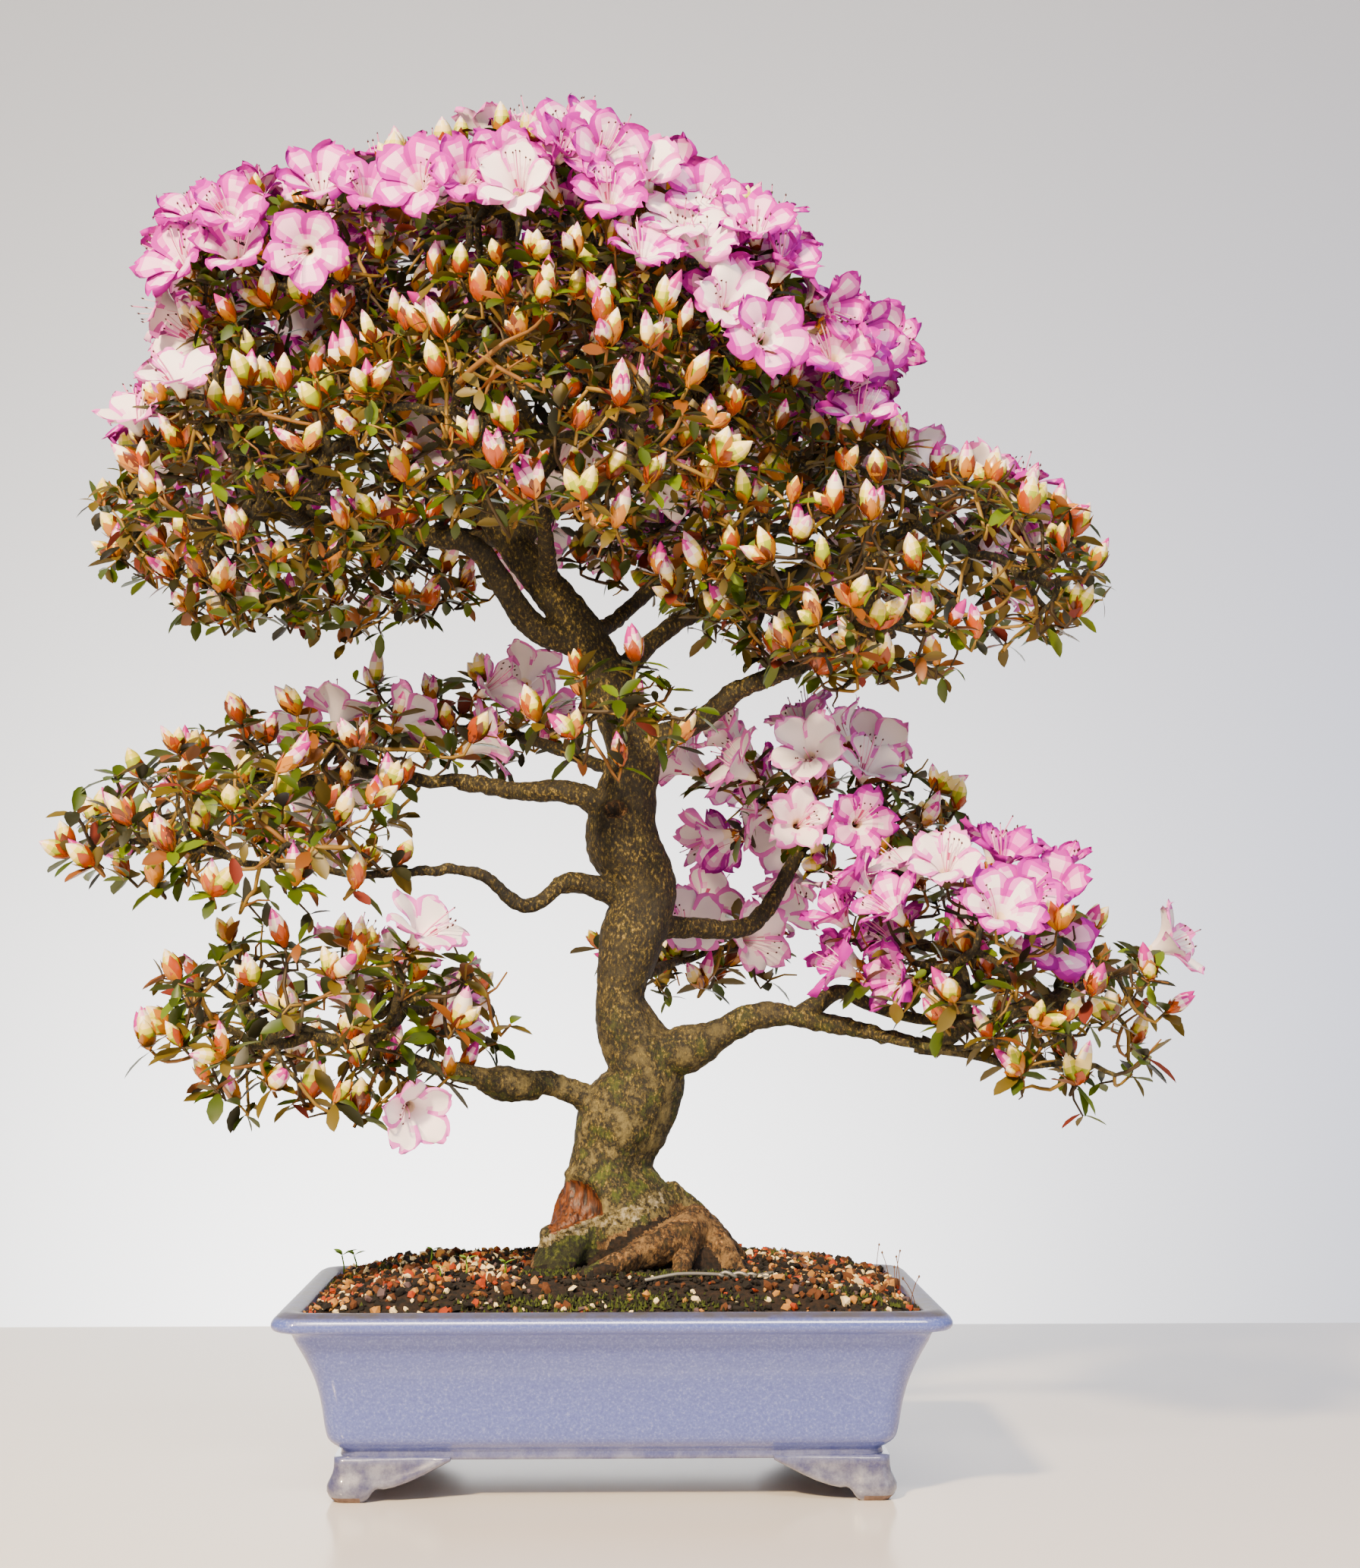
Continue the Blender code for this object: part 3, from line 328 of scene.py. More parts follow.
# How wide those bands are on vivid blooms and on pale ones, which have no band darker than pink
VIVID_MARGIN = (1.05, 1.55)
PALE_MARGIN = (0.35, 0.65)
PALE_LIMIT = 0.7
PINK, THROAT, DOTS = 2, 5, 6
# How far ahead of its shoot a bloom's middle and its rim lie, and the room from middle to middle
BLOOM_MIDDLE = 18
BLOOM_RIM = 27
BLOOM_ROOM = 22
# How far a bloom may turn from its shoot, one try after the other
BLOOM_TRIES = (0.25, 0.4, 0.6)
# An anther: corners and faces of a small double pyramid
ANTHER = np.array([(0, 0, -1.3), (0.8, 0, 0), (0, 0.7, 0), (-0.8, 0, 0), (0, -0.7, 0), (0, 0, 1.3)])
ANTHER_FACES = [(0, 1 + (i + 1) % 4, 1 + i, -1) for i in range(4)]
ANTHER_FACES += [(5, 1 + i, 1 + (i + 1) % 4, -1) for i in range(4)]
# Limbs too slender for the solids: the fork of the lower right bough and its two arms
FORKS = [
    Bough(5.6, 3.0, [(110, -20, 266), (134, -12, 282), (152, -8, 275), (182, -4, 266), (214, -2, 264)]),
    Bough(3.9, 2.2, [(178, -28, 251), (213, -34, 245), (236, -40, 239), (262, -46, 241)]),
    Bough(3.0, 1.6, [(150, -24, 259), (172, -48, 252), (200, -66, 250), (226, -78, 256)]),
]
# Where the scene's bark is thicker or thinner than the solid limb: radius at trunk and tip
LIMB_GIRTH = {"bough_low_right": (13.5, 3.4), "bough_left_thin": (6.4, 2.4)}
# Knots and stubs of old cuts: place and radius at both ends and between
STUBS = [
    ((-4, -6, 345, 6.2), (-22, -12, 346, 5.4), (-35, -16, 344, 5.6)),
    ((-44, -14, 226, 8), (-64, -22, 228, 10.5), (-78, -27, 231, 6.5)),
    ((30, -4, 244, 13), (44, -8, 248, 14.5), (58, -10, 254, 11)),
]
# Any angle round, and the golden angle by which leaves and scales follow each other, in radians
ROUND = (0, 6.28)
GOLDEN_TURN = 2.4

rng = np.random.default_rng(20240611)


def linear(code):
    """An sRGB hex colour as linear numbers with full alpha."""
    channels = [int(code[i : i + 2], 16) / 255 for i in (1, 3, 5)]
    return tuple(c / 12.92 if c <= 0.04045 else ((c + 0.055) / 1.055) ** 2.4 for c in channels) + (1.0,)


def new_material(name, color, roughness, **sockets):
    """A material with one shader; sockets are further values on it, by their names."""
    material = bpy.data.materials.new(name)
    material.use_nodes = True
    shader = material.node_tree.nodes["Principled BSDF"]
    shader.inputs["Base Color"].default_value = linear(color)
    shader.inputs["Roughness"].default_value = roughness
    for key, value in sockets.items():
        shader.inputs[key.replace("_", " ")].default_value = value
    return material


def outlet(source):
    """An output as it is, or the first output in use of a node."""
    if isinstance(source, bpy.types.Node):
        return next(output for output in source.outputs if output.enabled)
    return source


def add_node(material, kind, inputs, stops=(), **settings):
    """Adds a node with its settings and a ramp's stops; an input is a value, an output or a node."""
    tree = material.node_tree
    node = tree.nodes.new("ShaderNode" + kind)
    for key, value in settings.items():
        setattr(node, key, value)
    if stops:
        ramp = node.color_ramp.elements
        for end, (position, color) in zip(ramp, (stops[0], stops[-1])):
            end.position = position
            end.color = linear(color)
        for position, color in stops[1:-1]:
            ramp.new(position).color = linear(color)
    for key, value in inputs.items():
        value = outlet(value)
        if isinstance(value, bpy.types.NodeSocket):
            tree.links.new(value, node.inputs[key])
        else:
            node.inputs[key].default_value = value
    return node


def link_shader(material, **sources):
    """Links nodes or outputs to the shader's sockets."""
    shader = material.node_tree.nodes["Principled BSDF"]
    for key, source in sources.items():
        material.node_tree.links.new(outlet(source), shader.inputs[key.replace("_", " ")])


class Heap:
    """Many small shapes that become one piece. A face is four corners, the last -1 on a triangle."""

    def __init__(self):
        self.points = []
        self.faces = []
        self.slots = []
        self.count = 0

    def add(self, points, faces, slots):
        faces = np.asarray(faces)
        self.points.append(points)
        self.faces.append(np.where(faces < 0, -1, faces + self.count))
        self.slots.append(np.broadcast_to(slots, len(faces)))
        self.count += len(points)


def make_piece(name, heap, materials, smooth, replaced):
    """Turns a heap into one piece that rides on the plant's one body and stands for its solids."""
    points = np.concatenate(heap.points) * MM + POT_PLACE
    faces = np.concatenate(heap.faces).astype(np.int32)
    used = faces >= 0
    starts = np.concatenate([[0], np.cumsum(used.sum(axis=1))[:-1]]).astype(np.int32)
    corners = faces[used]
    mesh = bpy.data.meshes.new(name)
    mesh.vertices.add(len(points))
    mesh.vertices.foreach_set("co", points.astype(np.float32).ravel())
    mesh.loops.add(len(corners))
    mesh.loops.foreach_set("vertex_index", corners)
    mesh.polygons.add(len(faces))
    mesh.polygons.foreach_set("loop_start", starts)
    mesh.polygons.foreach_set("material_index", np.concatenate(heap.slots).astype(np.int32))
    mesh.polygons.foreach_set("use_smooth", np.full(len(faces), smooth))
    mesh.update(calc_edges=True)
    for material in materials:
        mesh.materials.append(material)
    obj = bpy.data.objects.new(name, mesh)
    bpy.context.scene.collection.objects.link(obj)
    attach(obj, "root")
    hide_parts(*replaced)
    return obj


def unit(vectors):
    """Vectors brought to length one."""
    vectors = np.asarray(vectors, float)
    return vectors / np.maximum(np.linalg.norm(vectors, axis=-1, keepdims=True), 1e-9)


def smooth_step(value, low, high):
    """A soft rise from 0 at low to 1 at high."""
    share = np.clip((np.asarray(value, float) - low) / (high - low), 0, 1)
    return share * share * (3 - 2 * share)


def smooth_path(stations, step):
    """Points on a Catmull-Rom curve through the stations, about a step apart."""
    points = np.array(stations, float)
    points = np.vstack([2 * points[0] - points[1], points, 2 * points[-1] - points[-2]])
    out = []
    for i in range(1, len(points) - 2):
        a, b, c, d = points[i - 1 : i + 3]
        pieces = max(1, round(np.linalg.norm((c - b)[:3]) / step))
        t = (np.arange(pieces) / pieces)[:, None]
        bend = (2 * a - 5 * b + 4 * c - d) * t**2 + (3 * b - a - 3 * c + d) * t**3
        out.append(b + 0.5 * ((c - a) * t + bend))
    return np.vstack([*out, points[-2]])


def frames(path):
    """The two cross directions at each point of a path, carried along it without twist."""
    steps = unit(np.gradient(path, axis=0))
    across = unit(np.cross(steps[0], (0.13, 0.21, 0.97) if abs(steps[0][2]) < 0.9 else (0, 1, 0)))
    sides = []
    for ahead in steps:
        across = unit(across - ahead * (across @ ahead))
        sides.append(across)
    sides = np.array(sides)
    return sides, np.cross(steps, sides)


def ring_faces(rings, sides):
    """Faces of a skin over closed rings of points, laid out ring by ring."""
    ring = np.arange(sides)
    after = (ring + 1) % sides
    low = np.arange(rings - 1)[:, None] * sides
    corners = [low + ring, low + after, low + sides + after, low + sides + ring]
    return np.stack(corners, axis=-1).reshape(-1, 4)


def cap_faces(first, second, middle):
    """Triangles from pairs of corners on a rim to one corner in its middle."""
    return np.stack([first, second, np.full_like(first, middle), np.full_like(first, -1)], axis=-1)


def tube(path, radii, sides):
    """Points and faces of a closed tube. Radii are one for each ring, or one for each point of it."""
    a, b = frames(path)
    angles = np.arange(sides) * 2 * math.pi / sides
    around = a[:, None] * np.cos(angles)[:, None] + b[:, None] * np.sin(angles)[:, None]
    radii = np.broadcast_to(np.reshape(radii, (len(path), -1)), (len(path), sides))
    points = (path[:, None] + around * radii[:, :, None]).reshape(-1, 3)
    ring = np.arange(sides)
    after = (ring + 1) % sides
    last = len(points) - sides
    caps = [cap_faces(after, ring, len(points)), cap_faces(last + ring, last + after, len(points) + 1)]
    return np.vstack([points, path[:1], path[-1:]]), np.vstack([ring_faces(len(path), sides), *caps])


def grid_faces(rows, columns):
    """Faces of a sheet of points laid out row by row."""
    low = (np.arange(rows - 1)[:, None] * columns + np.arange(columns - 1)).ravel()
    return np.stack([low, low + 1, low + columns + 1, low + columns], axis=-1)


def turned(ahead, roll):
    """Three row axes with the last along ahead, rolled round it. Takes one or many."""
    ahead = unit(np.atleast_2d(ahead))
    roll = np.atleast_1d(roll)[:, None]
    guide = np.where(np.abs(ahead[:, 2:]) < 0.9, [[0.0, 0.0, 1.0]], [[1.0, 0.0, 0.0]])
    side = unit(np.cross(ahead, guide))
    other = np.cross(ahead, side)
    a = side * np.cos(roll) + other * np.sin(roll)
    return np.stack([a, np.cross(ahead, a), ahead], axis=1)


def spin_about(angle):
    """Three row axes turned by an angle about +Z."""
    cos, sin = math.cos(angle), math.sin(angle)
    return np.array([[cos, sin, 0], [-sin, cos, 0], [0, 0, 1]])


def lumps(points, size, seed):
    """Smooth noise from -1 to 1 at points, with lumps of a size in millimetres."""
    shift = Vector((seed, seed * 1.7, seed * 0.3))
    return np.array([noise.noise(Vector(point / size) + shift) for point in points])


# Materials


def make_leaf_materials():
    """Living azalea leaves: thin waxy blades with a satin sheen."""
    greens = [
        # Lit green is painted light on the outer leaves; the dark tint is also painted shade on the inner
        # ones
        ("leaf_lit_green", "#566C00", 0.38),
        ("leaf_green", "#384A00", 0.42),
        ("leaf_olive", "#5A4C06", 0.5),
        ("leaf_dark_and_shade", "#1C1E04", 0.5),
        ("leaf_bronze", "#784206", 0.5),
        ("leaf_dead_red", "#6A1C06", 0.7),
    ]
    return [new_material(name, color, rough, Specular_IOR_Level=0.45) for name, color, rough in greens]


def make_petal_materials():
    """Thin petals with a soft velvet surface: white throat, pink flush and magenta margin."""
    tints = [
        ("petal_margin_magenta", "#AE00A0"),
        ("petal_rose_violet", "#CE24B8"),
        ("petal_pink", "#E874D2"),
        ("petal_blush", "#FAC0E8"),
        ("petal_white", "#FFF4F8"),
        ("petal_throat_cream", "#FFEED4"),
        ("petal_dots_rose", "#B84078"),
    ]
    return [new_material(name, color, 0.6, Specular_IOR_Level=0.2) for name, color in tints]


def make_bud_materials():
    """Rolled petals of the closed buds: smooth and faintly waxy."""
    tints = [
        ("bud_yellow_green", "#9AA800"),
        ("bud_pale_green", "#DCD438"),
        ("bud_cream", "#FFE690"),
        ("bud_white", "#FFF2E0"),
        ("bud_blush", "#F29CCC"),
        ("bud_magenta_tip", "#C01090"),
    ]
    return [new_material(name, color, 0.38, Specular_IOR_Level=0.4) for name, color in tints]


def make_scale_materials():
    """Dry sticky bud scales: glossy, from amber to rust and brown."""
    tints = [("scale_amber", "#BA7400"), ("scale_rust", "#A44000"), ("scale_brown", "#642806")]
    return [new_material(name, color, 0.25, Specular_IOR_Level=0.65) for name, color in tints]


def make_twig_materials():
    """Bark of thin twigs: matt, golden brown on old wood, dark in places, warm on young shoots."""
    tints = [("twig_old_bark", "#8C6C22"), ("twig_dark_bark", "#38280C"), ("twig_young_shoot", "#7A5018")]
    return [new_material(name, color, 0.65) for name, color in tints]


def make_stamen_materials():
    """Filaments, style and anthers: thin and moist, pale pink, pink and dark maroon."""
    tints = [
        ("stamen_filament", "#FFD6E6", 0.5),
        ("pistil_style", "#EE7CBC", 0.5),
        ("anther_maroon", "#3E0E18", 0.6),
    ]
    return [new_material(*tint) for tint in tints]


def bark_pattern(material, colors, fleck):
    """Fine flaking bark: dark cracks, olive plates and golden flecks, with lichen near the ground."""
    crack, plate, light, gold, moss, dust = colors
    place = add_node(material, "TexCoord", {}).outputs["Object"]
    drawn = add_node(material, "Mapping", {"Vector": place, "Scale": (1, 1, 0.6)})
    grains = []
    for source, size, detail, rough in ((drawn, fleck, 5, 0.68), (place, 30, 4, 0.6), (place, 15, 6, 0.75)):
        values = {"Vector": source, "Scale": 1 / (size * MM), "Detail": detail, "Roughness": rough}
        grains.append(add_node(material, "TexNoise", values))
    flakes, patches, growth = grains
    plates = add_node(
        material, "ValToRGB", {"Fac": flakes}, [(0.41, crack), (0.48, plate), (0.56, light), (0.66, gold)]
    )
    shade = add_node(material, "ValToRGB", {"Fac": patches}, [(0.36, "#8C8A6A"), (0.6, "#FFFFFF")])
    layers = add_node(
        material, "Mix", {"Factor": 1.0, "A": plates, "B": shade}, data_type="RGBA", blend_type="MULTIPLY"
    )
    height = add_node(material, "SeparateXYZ", {"Vector": place}).outputs["Z"]
    top, bottom = MOSSY_BARK
    reach = {"Value": height, "From Min": top * MM, "From Max": bottom * MM, "To Min": 0.06, "To Max": 0.8}
    low = add_node(material, "MapRange", reach)
    for start, end, color in ((0.52, 0.66, moss), (0.5, 0.38, dust)):
        patch = add_node(material, "MapRange", {"Value": growth, "From Min": start, "From Max": end})
        share = add_node(material, "Math", {0: patch, 1: low}, operation="MULTIPLY")
        blend = {"Factor": share, "A": layers, "B": linear(color)}
        layers = add_node(material, "Mix", blend, data_type="RGBA")
    bump = add_node(material, "Bump", {"Height": flakes, "Strength": 1.0, "Distance": 1.2 * MM})
    link_shader(material, Base_Color=layers, Normal=bump)


def make_bark():
    """Old azalea bark: thin and flaking in fine grains, olive brown, pale and mossy low down."""
    bark = new_material("bark_old_azalea", "#44380F", 0.75)
    bark_pattern(bark, ("#080502", "#221A06", "#42380C", "#9C8440", "#4E5C0C", "#8A7C4A"), 1.7)
    return bark


def make_root_bark():
    """Bark of surface roots: brown and dusty, with dried soil in its creases."""
    bark = new_material("bark_surface_root", "#5A3E22", 0.88)
    bark_pattern(bark, ("#0E0703", "#38240F", "#684620", "#AC8450", "#4A3A1A", "#8A6A40"), 2.4)
    return bark


def make_mossy_bark():
    """Bark under a film of moss at the foot of the trunk: green, damp and soft."""
    bark = new_material("bark_mossy_foot", "#46500E", 0.9)
    bark_pattern(bark, ("#0E0F04", "#262C08", "#48540E", "#7E8238", "#3E4A08", "#20200A"), 2.2)
    return bark


def mottle(material, stops, size, detail, rough=0.5, relief=None, drawn=None):
    """Colours a surface by one noise and raises it in relief; drawn scales the noise by axis."""
    place = add_node(material, "TexCoord", {}).outputs["Object"]
    if drawn:
        place = add_node(material, "Mapping", {"Vector": place, "Scale": drawn})
    values = {"Vector": place, "Scale": 1 / (size * MM), "Detail": detail, "Roughness": rough}
    specks = add_node(material, "TexNoise", values)
    link_shader(material, Base_Color=add_node(material, "ValToRGB", {"Fac": specks}, stops))
    if relief:
        strength, height = relief
        bump = add_node(material, "Bump", {"Height": specks, "Strength": strength, "Distance": height * MM})
        link_shader(material, Normal=bump)
    return material


def make_wound_wood():
    """Carved and sealed heartwood: fibres fan out, red brown, a little glossy."""
    wood = new_material("wound_carved_heartwood", "#5E2E0C", 0.5)
    stops = [(0.36, "#241006"), (0.66, "#743C0C")]
    return mottle(wood, stops, 2.4, 4, relief=(0.8, 1.5), drawn=(1, 1, 0.16))


def make_callus():
    """The healed lip under the wound: dry, pale grey and crusted, with dark cracks."""
    crust = new_material("callus_lichen_crust", "#8A7E62", 0.9)
    stops = [(0.4, "#1E180A"), (0.49, "#6E6238"), (0.62, "#A89E86")]
    return mottle(crust, stops, 4, 6, 0.75, (1.0, 1.4))


def make_bare_clay():
    """Unglazed fired clay where the feet stand: matt, brown and a little sooty."""
    clay = new_material("bare_fired_clay", "#6E5646", 0.85)
    return mottle(clay, [(0, "#3E3029"), (1, "#94786A")], 3, 4)


def make_soil_earth():
    """Damp fine earth between the granules: dark and matt. On the trunk's skin the same loam also stands for
    painted shade.
    """
    earth = new_material("earth_damp_loam_and_shade", "#1E140C", 0.95)
    return mottle(earth, [(0.38, "#060302"), (0.68, "#2A1A0C")], 3.2, 5, relief=(1, 2))


def make_glaze():
    """Periwinkle stoneware glaze: glassy with fine pale crystals, thin and grey on the foot, dull
    and dark grey on top of the lip."""
    glaze = new_material("glaze_periwinkle_stoneware", "#5A68B0", 0.3, Coat_Roughness=0.06)
    place = add_node(glaze, "TexCoord", {}).outputs["Object"]
    crystals, clouds = (
        add_node(
            glaze,
            "TexNoise",
            {"Vector": place, "Scale": 1 / (size * MM), "Detail": detail, "Roughness": 0.7},
        )
        for size, detail in ((1.5, 5), (16, 6))
    )
    blues = [(0.34, "#404EA0"), (0.54, "#5464B2"), (0.74, "#8490CC")]
    body = add_node(glaze, "ValToRGB", {"Fac": crystals}, blues)
    height = add_node(glaze, "SeparateXYZ", {"Vector": place}).outputs["Z"]
    lip, foot = (
        add_node(glaze, "MapRange", {"Value": height, "From Min": start * MM, "From Max": end * MM})
        for start, end in (GLAZE_LIP, GLAZE_FOOT)
    )
    worn = add_node(glaze, "Math", {0: lip, 1: foot}, operation="MAXIMUM")
    patchy = add_node(glaze, "MapRange", {"Value": clouds, "From Min": 0.3, "From Max": 0.6, "To Min": 0.6})
    share = add_node(glaze, "Math", {0: worn, 1: patchy}, operation="MULTIPLY")
    thin = add_node(glaze, "ValToRGB", {"Fac": clouds}, [(0.38, "#3C302A"), (0.6, "#7E8092")])
    edge = add_node(glaze, "Mix", {"Factor": lip, "A": thin, "B": linear("#4A4A54")}, data_type="RGBA")
    color = add_node(glaze, "Mix", {"Factor": share, "A": body, "B": edge}, data_type="RGBA")
    gloss = add_node(glaze, "MapRange", {"Value": crystals, "To Min": 0.25, "To Max": 0.55})
    coat = add_node(glaze, "MapRange", {"Value": lip, "To Min": 1.0, "To Max": 0.08})
    bump = add_node(glaze, "Bump", {"Height": crystals, "Strength": 0.22, "Distance": 0.5 * MM})
    link_shader(glaze, Base_Color=color, Roughness=gloss, Coat_Weight=coat, Normal=bump)
    return glaze


def make_grain_materials():
    """Granules of fired clay, pumice and lava: porous and matt, each of one colour."""
    tints = [
        ("grain_dark_loam", "#0E0804"),
        ("grain_brown_clay", "#583010"),
        ("grain_tan_clay", "#B07A34"),
        ("grain_cream_pumice", "#FAE2A8"),
        ("grain_red_clay", "#9C3604"),
        ("grain_grey_lava", "#564446"),
    ]
    return [new_material(name, color, 0.9) for name, color in tints]


def make_moss_materials():
    """Living moss: soft and matt, fresh green over old dark olive."""
    return [new_material("moss_green", "#3E4A0A", 0.9), new_material("moss_dark_olive", "#1C2008", 0.95)]


# Trunk, boughs and roots


def bough_stations(bough, step):
    """A bough's middle line and radius, thicker at the collar where it leaves the trunk."""
    path = smooth_path(bough.path, step)
    along = np.linspace(0, 1, len(path))
    radii = bough.thick + (bough.thin - bough.thick) * along**0.75
    return path, radii * (1 + COLLAR * np.exp(-((along / COLLAR_RUN) ** 2)))


def root_stations(compass, reach, thick):
    """A surface root from the foot of the trunk out and down into the ground, swinging a little."""
    out = []
    for share, height, swing, size in ROOT_SHAPE:
        angle = math.radians(compass + ROOT_TWIST * swing)
        x = TRUNK[0][0] + reach * share * math.cos(angle)
        y = TRUNK[0][1] + reach * share * math.sin(angle)
        out.append((x, y, GROUND + ROOT_TOP * height, thick * size))
    return smooth_path(out, 4)


def fluted(radii, path, sides, depth, seed):
    """Radii with long muscles that run along a limb and turn slowly round it."""
    angles = np.arange(sides) * 2 * math.pi / sides
    along = np.cumsum(np.r_[0, np.linalg.norm(np.diff(path, axis=0), axis=1)])
    turn = along[:, None] / 95 + seed
    wave = np.sin(3 * angles + turn * 2.1) + 0.7 * np.sin(5 * angles - turn * 1.3 + seed)
    return radii[:, None] * (1 + depth * wave)


def make_wood():
    """Trunk, boughs and surface roots grown into one skin with the bark's relief."""
    heap = Heap()
    stations = smooth_path(TRUNK, 4)
    path, radii = stations[:, :3], stations[:, 3]
    heap.add(*tube(path, fluted(radii, path, 40, 0.035, 1.0), 40), 0)
    swellings = [smooth_path(rows, 4) for rows in (CALLUS, EARTH_HEAP)]
    swellings += [smooth_path(stub, 3) for stub in STUBS]
    for rows in swellings:
        heap.add(*tube(rows[:, :3], rows[:, 3], 24), 0)
    for k, (name, bough) in enumerate(BOUGHS.items()):
        thick, thin = LIMB_GIRTH.get(name, (bough.thick, bough.thin))
        add_limb(heap, Bough(thick, thin, bough.path), k)
    roots = root_paths()
    for k, rows in enumerate(roots):
        flat = fluted(rows[:, 3], rows[:, :3], 16, 0.06, k * 1.9)
        heap.add(*tube(rows[:, :3], flat, 16), 0)
    wood = make_piece("wood_trunk_and_boughs", heap, [], True, ["trunk", *BOUGHS])
    melt = wood.modifiers.new("one skin", "REMESH")
    melt.mode = "VOXEL"
    melt.voxel_size = WOOD_VOXEL * MM
    bake_modifiers(wood)
    relieve_wood(wood, np.vstack(roots))
    return wood


def root_paths():
    """Middle lines and radii of all surface roots: main ones, those in front and thin side roots."""
    paths = [root_stations(*root) for root in ROOTS]
    paths += [smooth_path(stations, 4) for stations in FRONT_ROOTS]
    for k in range(SIDE_ROOTS):
        side = root_stations(k * 38 - 30, 58 + 8 * math.sin(k * 2.3), SIDE_ROOT_THICK)
        side[:, 2] -= SIDE_ROOT_DROP
        side[:, :2] += np.column_stack([np.sin(side[:, 2] / 9 + k), np.cos(side[:, 2] / 7 + k)]) * 2
        paths.append(side)
    return paths


def add_limb(heap, bough, seed):
    """One bough with its knots, wandering a little from the straight."""
    path, radii = bough_stations(bough, 5)
    wander = rng.normal(size=path.shape) * 0.6
    path = path + wander * np.linspace(0, 1, len(path))[:, None]
    knots = 1 + 0.13 * lumps(path, 11, seed + 3.3)
    heap.add(*tube(path, fluted(radii * knots, path, 16, 0.03, seed), 16), 0)


def bake_modifiers(obj):
    """Applies an object's modifiers to its mesh."""
    bpy.context.view_layer.update()
    shape = obj.evaluated_get(bpy.context.evaluated_depsgraph_get())
    mesh = bpy.data.meshes.new_from_object(shape)
    obj.modifiers.clear()
    old, obj.data = obj.data, mesh
    mesh.name = obj.name
    bpy.data.meshes.remove(old)


def mesh_rows(items, key):
    """A three-part value of all vertices or faces, one row for each."""
    rows = np.zeros(len(items) * 3, np.float32)
    items.foreach_get(key, rows)
    return rows.reshape(-1, 3).astype(float)


def scar_shape(points):
    """How far out points lie from the pruning scar on the trunk's front."""
    x, z, size = SCAR
    ring = np.hypot(points[:, 0] - x, (points[:, 2] - z) * 1.2) / size
    return ring + np.where(points[:, 1] > CARVED_FRONT, 9, 0)


def wound_shape(points):
    """How far out points lie from the wound's middle, their angle in its fan, their height over its sill."""
    x, z, half_x, half_z = WOUND
    sill = points[:, 2] - WOUND_SILL[0] - WOUND_SILL[1] * (points[:, 0] - x)
    far = np.hypot((points[:, 0] - x) / half_x, (points[:, 2] - z) / half_z)
    far = np.maximum(far, 1 - sill / 6) + np.where(points[:, 1] > CARVED_FRONT, 9, 0)
    return far, np.arctan2(points[:, 0] - x, points[:, 2] - z + 20), sill


def wood_slots(centres, roots):
    """Which bark each face wears: trunk, root, wound, callus, mossy foot, and packed earth that is partly
    painted shade between the roots and in the scar's hole.
    """
    far, _, sill = wound_shape(centres)
    x = centres[:, 0]
    # Root bark climbs higher on the right than on the left, moss covers the front's lower left
    lean = 12 * smooth_step(x, 0, 40) - 14 * smooth_step(x, 0, -30)
    wander = lumps(centres, 17, 4.0)
    rough = lumps(centres, 5, 2.0)
    slots = np.where(centres[:, 2] < 143 + 7 * wander + lean, ROOT_BARK, BARK)
    front = (centres[:, 1] < CARVED_FRONT) & (x > -46) & (x < 30)
    slots = np.where(front & (sill < 0) & (x < -8 + 5 * wander), MOSSY, slots)
    # Earth shows low down wherever no root is near; its dark there is partly painted shade in the hollows
    # between the roots
    low = centres[:, 2] < np.interp(x, *EARTH_EDGE) + 4 * rough
    gap = np.full(len(centres), -1.0)
    for part in np.array_split(np.flatnonzero(low), 40):
        away = np.linalg.norm(centres[part, None] - roots[None, :, :3], axis=2) - roots[None, :, 3] * 1.02
        gap[part] = away.min(axis=1)
    slots = np.where(low & ((gap > 1.2) | (front & (x < -16))), EARTH_AND_SHADE, slots)
    wide = np.interp(x, *CALLUS_WIDTH)
    band = np.abs(sill + wide / 2 + 1.5 * wander) < wide / 2 + 2.6 * rough
    slots = np.where(front & band, CRUST, slots)
    # The scar's ring wears root bark and its sunk hole the dark earth, which is painted shade in the hole
    ring = scar_shape(centres)
    slots = np.where(ring < 1.05, np.where(ring < 0.36, EARTH_AND_SHADE, ROOT_BARK), slots)
    return np.where(far < 0.97, WOUND_WOOD, slots)


